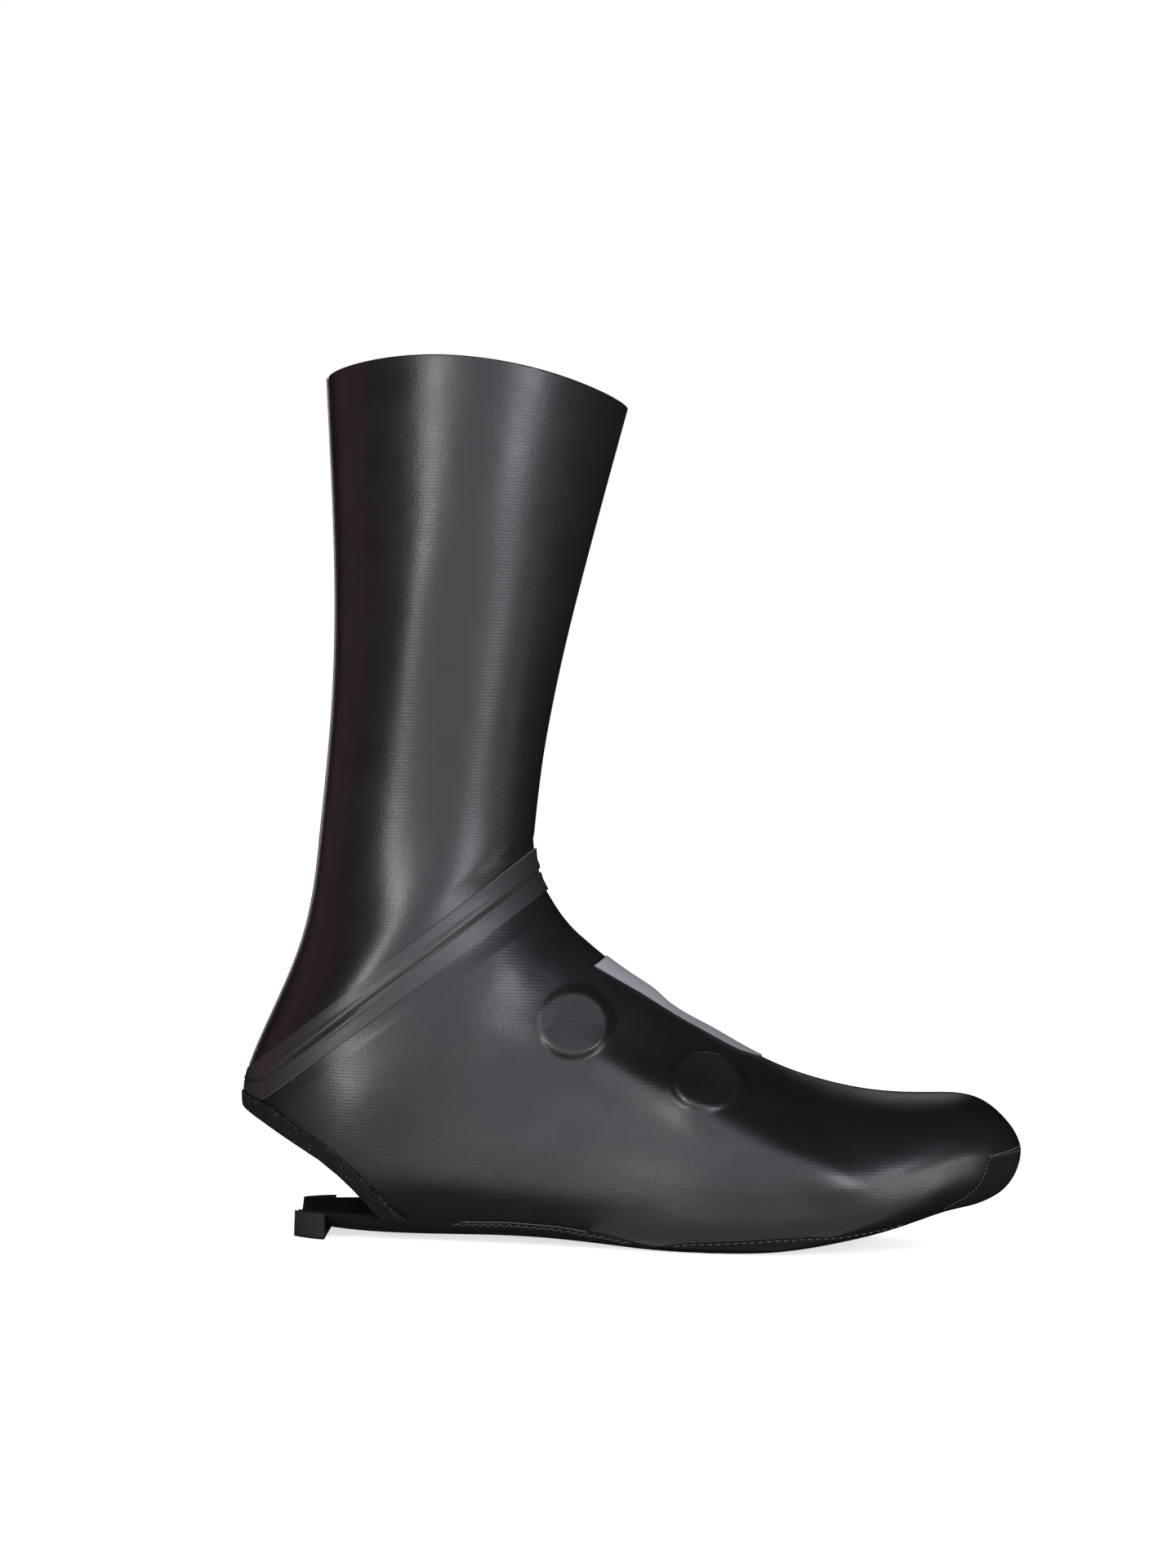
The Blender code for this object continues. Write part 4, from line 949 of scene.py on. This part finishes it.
def stitch(u, angle, high):
    """One stitch between two places: it rises out of the cloth and dips back into it."""
    share = np.linspace(0, 1, 5)
    lift = high * np.sin(pi * share) - THREAD_RADIUS * 0.6
    u, angle = (ends[0] + (ends[1] - ends[0]) * share for ends in (u, angle))
    return skin.points(u, angle, lift, floor=False)


def dashes(u, angle, pitch, filled):
    """Stitches on both sides, each as long as a share of the pitch."""
    made = []
    for side in (-1, 1):
        at, turn = even_steps(u, side * angle, pitch)
        to, to_turn = (ends[:-1] + np.diff(ends) * filled for ends in (at, turn))
        made += [stitch(*ends, DASH_LIFT) for ends in zip(zip(at, to), zip(turn, to_turn))]
    return made


def underside_run(ends, count):
    """u at even steps between two shares of the length along the underside."""
    return np.linspace(*(at_underside(end * FOOT_LENGTH) for end in ends), count)


black_thread = plain_finish("black_thread", (0.035, 0.034, 0.036), (0.075, 0.072, 0.076), 0.6)
dash_u = underside_run(FOREFOOT_SEWN, 90)
sewn = dashes(dash_u, side_edges(dash_u, sole_joint, -SEAM_INSET), *FOREFOOT_DASH)
threads("forefoot_stitches", sewn, THREAD_RADIUS, black_thread, "black_woven")

zig_u = underside_run(ARCH_SEWN, 90)
zig_angle = side_edges(zig_u, sole_joint, -ZIGZAG_INSET)
sewn = []
for side in (-1, 1):
    u, angle = even_steps(zig_u, side * zig_angle, ZIGZAG_PITCH)
    drop = ZIGZAG_DROP / skin.spread(u, angle)
    angle = angle + side * drop * (np.arange(len(u)) % 2)
    sewn += [stitch(u[k:k + 2], angle[k:k + 2], ZIGZAG_LIFT) for k in range(len(u) - 1)]
threads("arch_zigzag", sewn, THREAD_RADIUS, black_thread, "black_knit")

rise_u, rise_angle, over_u, over_angle = toe_edge(-SEAM_INSET, 24, over_columns)
sewn_u = np.concatenate([rise_u, over_u[1:]])
sewn_angle = np.concatenate([rise_angle, over_angle[1:]])
sewn = dashes(sewn_u, sewn_angle, *GUARD_DASH)
threads("guard_stitches", sewn, THREAD_RADIUS, black_thread, "black_woven")

edge_u = underside_run(EDGE_SHOWN, 60)
edge_angle = side_edges(edge_u, sole_joint, 0.0)
raw = [skin.points(edge_u, side * edge_angle, EDGE_LIFT, floor=False) for side in (-1, 1)]
_, _, over_u, over_angle = toe_edge(0.0, 24, over_columns)
over_u = np.concatenate([over_u, over_u[-2::-1]])
over_angle = np.concatenate([-over_angle, over_angle[-2::-1]])
raw.append(skin.points(over_u, over_angle, EDGE_LIFT, floor=False))
threads("raw_edges", raw, EDGE_RADIUS, cut_edge, "coated_cloth")


# The heel binding. A strip of soft brushed elastic, folded over the cover's edge round the heel
# opening and sewn through both legs, with lint along it.

BINDING_WIDTH = 0.0065
low_u, low_turn = stations(line_points(BINDING_LOW_LINE), 161)
top_u, top_turn = stations(line_points(BINDING_TOP_LINE), 161)
outer_leg, inner_leg = BINDING_CLEARANCE, -CLOTH_WALL - BINDING_CLEARANCE
outside, inside = outer_leg + BINDING_THICKNESS, inner_leg - BINDING_THICKNESS
fold_share = BINDING_THICKNESS / BINDING_WIDTH
BINDING_SECTION = (
    # share of the way up the strip, height over the skin
    (1.00, outer_leg), (1.00, outer_leg + 0.0004), (0.97, outside - 0.0002),
    *((up, outside) for up in (0.90, 0.75, 0.60, 0.45, 0.30, 0.15)),
    (0.05, outside - 0.0002), (0.01, outer_leg), (0.00, (outer_leg + inner_leg) / 2),
    (0.01, inner_leg), (0.05, inside + 0.0002), (0.15, inside), (0.50, inside), (0.90, inside),
    (1.00, inside + 0.0003), (1.00, inner_leg), (0.60, inner_leg), (fold_share, inner_leg),
    (fold_share, outer_leg), (0.60, outer_leg),
)
share, height = np.array(BINDING_SECTION).T
binding_u = low_u[:, None] + (top_u - low_u)[:, None] * share
binding_turn = low_turn[:, None] + (top_turn - low_turn)[:, None] * share
height = np.broadcast_to(height, binding_u.shape)
lateral = skin.points(binding_u, -binding_turn, height, floor=False)
medial = skin.points(binding_u, binding_turn, height, floor=False)
rings = np.vstack([lateral[:0:-1], medial])
brushed_elastic = woven_finish(
    "brushed_elastic", (0.0015, 0.0014, 0.0016), (0.006, 0.0055, 0.006), 0.95, 0.0009, 0.0002,
)
binding = new_piece(
    "heel_edge_binding", rings.reshape(-1, 3).tolist(), tube_faces(0, *rings.shape[:2]),
    (brushed_elastic,), 1.0,
)
dress(binding, "heel_binding")


# Lint on the heel binding. Short loose fibres stand off the brushed face and its upper edge.

FIBRE_RADIUS = 0.00004
FIBRES = 260
draw = np.random.default_rng(21)
fibres = []
for _ in range(FIBRES):
    at = draw.uniform(0.02, 0.98)
    up = 1.0 - 0.04 * abs(draw.normal()) if draw.random() < 0.6 else draw.uniform(0.1, 0.95)
    k = int(at * (len(low_u) - 1))
    u = low_u[k] + (top_u[k] - low_u[k]) * up
    turn = (low_turn[k] + (top_turn[k] - low_turn[k]) * up) * draw.choice((-1, 1))
    root = skin.points(u, turn, outside - 0.0001, floor=False)
    normal = skin.normals(u, turn)
    lean = np.cross(normal, draw.normal(size=3))
    lean /= np.linalg.norm(lean)
    bend = np.cross(normal, lean)
    length = draw.uniform(0.0005, 0.0014)
    share = np.linspace(0, 1, 4)[:, None]
    curl = draw.uniform(-0.6, 0.6) * share**2
    fibres.append(root + length * (share * (0.35 * normal + lean) + curl * bend))
lint = plain_finish("lint", (0.02, 0.019, 0.021), (0.16, 0.155, 0.16), 0.9, 0.00001, 300.0)
threads("binding_lint", fibres, FIBRE_RADIUS, lint, "black_knit", corners=3)


# The heel grip. A moulded rubber block round the end of the sole strap, which the overshoe stands
# on at the heel. The strap leaves it at the front. It is shorter here than its solid.

GRIP_SHORTER = 0.66
GRIP_ROUNDING = 0.0007
grip_rubber = plain_finish(
    "grip_rubber", (0.005, 0.0046, 0.005), (0.010, 0.0095, 0.010), 0.7, 0.00008, 500.0,
)
grip_rubber.node_tree.nodes["Principled BSDF"].inputs["Specular IOR Level"].default_value = 0.3
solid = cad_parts["heel_grip"]
grip_mesh = solid.data.copy()
grip_mesh.transform(solid.matrix_world)
for corner in grip_mesh.vertices:
    corner.co.x = GRIP_REAR + (corner.co.x - GRIP_REAR) * GRIP_SHORTER
grip_mesh.materials.clear()
grip_mesh.materials.append(grip_rubber)
grip = placed("grip_block", grip_mesh)
dress(grip, "heel_grip")
bevel = grip.modifiers.new("soft_edges", "BEVEL")
bevel.width = GRIP_ROUNDING
bevel.segments = 3
bevel.limit_method = "ANGLE"
bevel.angle_limit = radians(40)


# The studio. A white floor and surround, two tall soft boxes in front at the left and the right, a
# wide one over the camera, weaker ones round about, and low cards that stand for the bright floor,
# which the glossy cloth mirrors.

FLOOR_REACH = 8.0
FLOOR_LEVEL = -0.0002
FLOOR_GLOW = 0.68
scene = bpy.context.scene
scene.view_settings.view_transform = "Standard"
world = bpy.data.worlds.new("white_surround")
scene.world = world
world.use_nodes = True
surround = world.node_tree.nodes["Background"].inputs
surround["Color"].default_value = (1.0, 1.0, 1.0, 1.0)
surround["Strength"].default_value = 1.0
world.cycles_visibility.glossy = False

floor_mesh = bpy.data.meshes.new("floor")
sides = ((-1, -1), (1, -1), (1, 1), (-1, 1))
floor_corners = [(x * FLOOR_REACH, y * FLOOR_REACH, FLOOR_LEVEL) for x, y in sides]
floor_mesh.from_pydata(floor_corners, [], [(0, 1, 2, 3)])
floor = placed("floor", floor_mesh)
floor_paint = plain_finish("floor_paint", (0.88, 0.88, 0.88), (0.92, 0.92, 0.92), 0.9, 0.0001, 3.0)
paint_shader = floor_paint.node_tree.nodes["Principled BSDF"]
paint_shader.inputs["Emission Color"].default_value = (1.0, 1.0, 1.0, 1.0)
paint_shader.inputs["Emission Strength"].default_value = FLOOR_GLOW
floor_mesh.materials.append(floor_paint)
floor.visible_glossy = False

LIT_POINT = Vector((0.08, 0.0, 0.12))
CARD_LEVEL = 0.002
SOFT_BOXES = (
    # name, azimuth and elevation in degrees, distance, width, height, power, colour
    ("strip_left", -28, 10, 1.5, 0.30, 0.75, 8.2, (1.0, 0.96, 0.97)),
    ("strip_right", 40, 8, 1.5, 0.44, 0.70, 9.6, (0.95, 0.95, 1.06)),
    ("front_wide", -3, 22, 1.7, 2.50, 1.70, 17.4, (0.98, 0.95, 1.06)),
    ("front_high", -15, 40, 1.7, 0.90, 0.50, 2.6, (0.98, 0.95, 1.0)),
    ("left_glow", -110, 12, 1.5, 1.30, 1.20, 0.9, (1.0, 0.42, 0.42)),
    ("back_fill", 180, 28, 1.7, 0.90, 0.70, 1.2, (1.0, 0.92, 0.92)),
)
FLOOR_CARDS = (
    # name, x, y, width, depth, power
    ("floor_near", 0.08, -0.46, 1.40, 0.72, 1.6),
    ("floor_fore", 0.21, -0.10, 0.22, 0.12, 0.04),
    ("floor_far", 0.15, -1.05, 1.30, 1.20, 5.5),
    ("floor_right", 0.62, -0.45, 0.64, 0.62, 3.6),
    ("floor_toe", 0.48, -0.22, 0.36, 0.34, 1.8),
)


def flat_light(name, place, turned, width, height, power, colour=(1.0, 1.0, 1.0)):
    """A flat soft light, itself out of the camera's sight."""
    lamp = bpy.data.lights.new(name, "AREA")
    lamp.shape = "RECTANGLE"
    lamp.size, lamp.size_y = width, height
    lamp.energy = power
    lamp.color = colour
    made = placed(name, lamp)
    made.location = place
    made.rotation_euler = turned
    made.visible_camera = False


for name, azimuth, elevation, distance, *look in SOFT_BOXES:
    turn, rise = radians(azimuth), radians(elevation)
    way = Vector((np.sin(turn) * np.cos(rise), -np.cos(turn) * np.cos(rise), np.sin(rise)))
    flat_light(name, LIT_POINT + way * distance, way.to_track_quat("Z", "Y").to_euler(), *look)
for name, x, y, *look in FLOOR_CARDS:
    flat_light(name, (x, y, CARD_LEVEL), (pi, 0.0, 0.0), *look)

# The camera stands to the lateral side, level and rolled a little
camera_data = bpy.data.cameras.new("camera")
camera_data.lens = 85.2
camera_data.sensor_width = 36.0
camera_data.clip_start = 0.05
camera = placed("camera", camera_data)
camera.matrix_world = Matrix((
    (0.99958, -0.02905, 0.0, 0.0957),
    (0.0, 0.0, -1.0, -1.4),
    (0.02905, 0.99958, 0.0, 0.1708),
    (0.0, 0.0, 0.0, 1.0),
))
scene.camera = camera
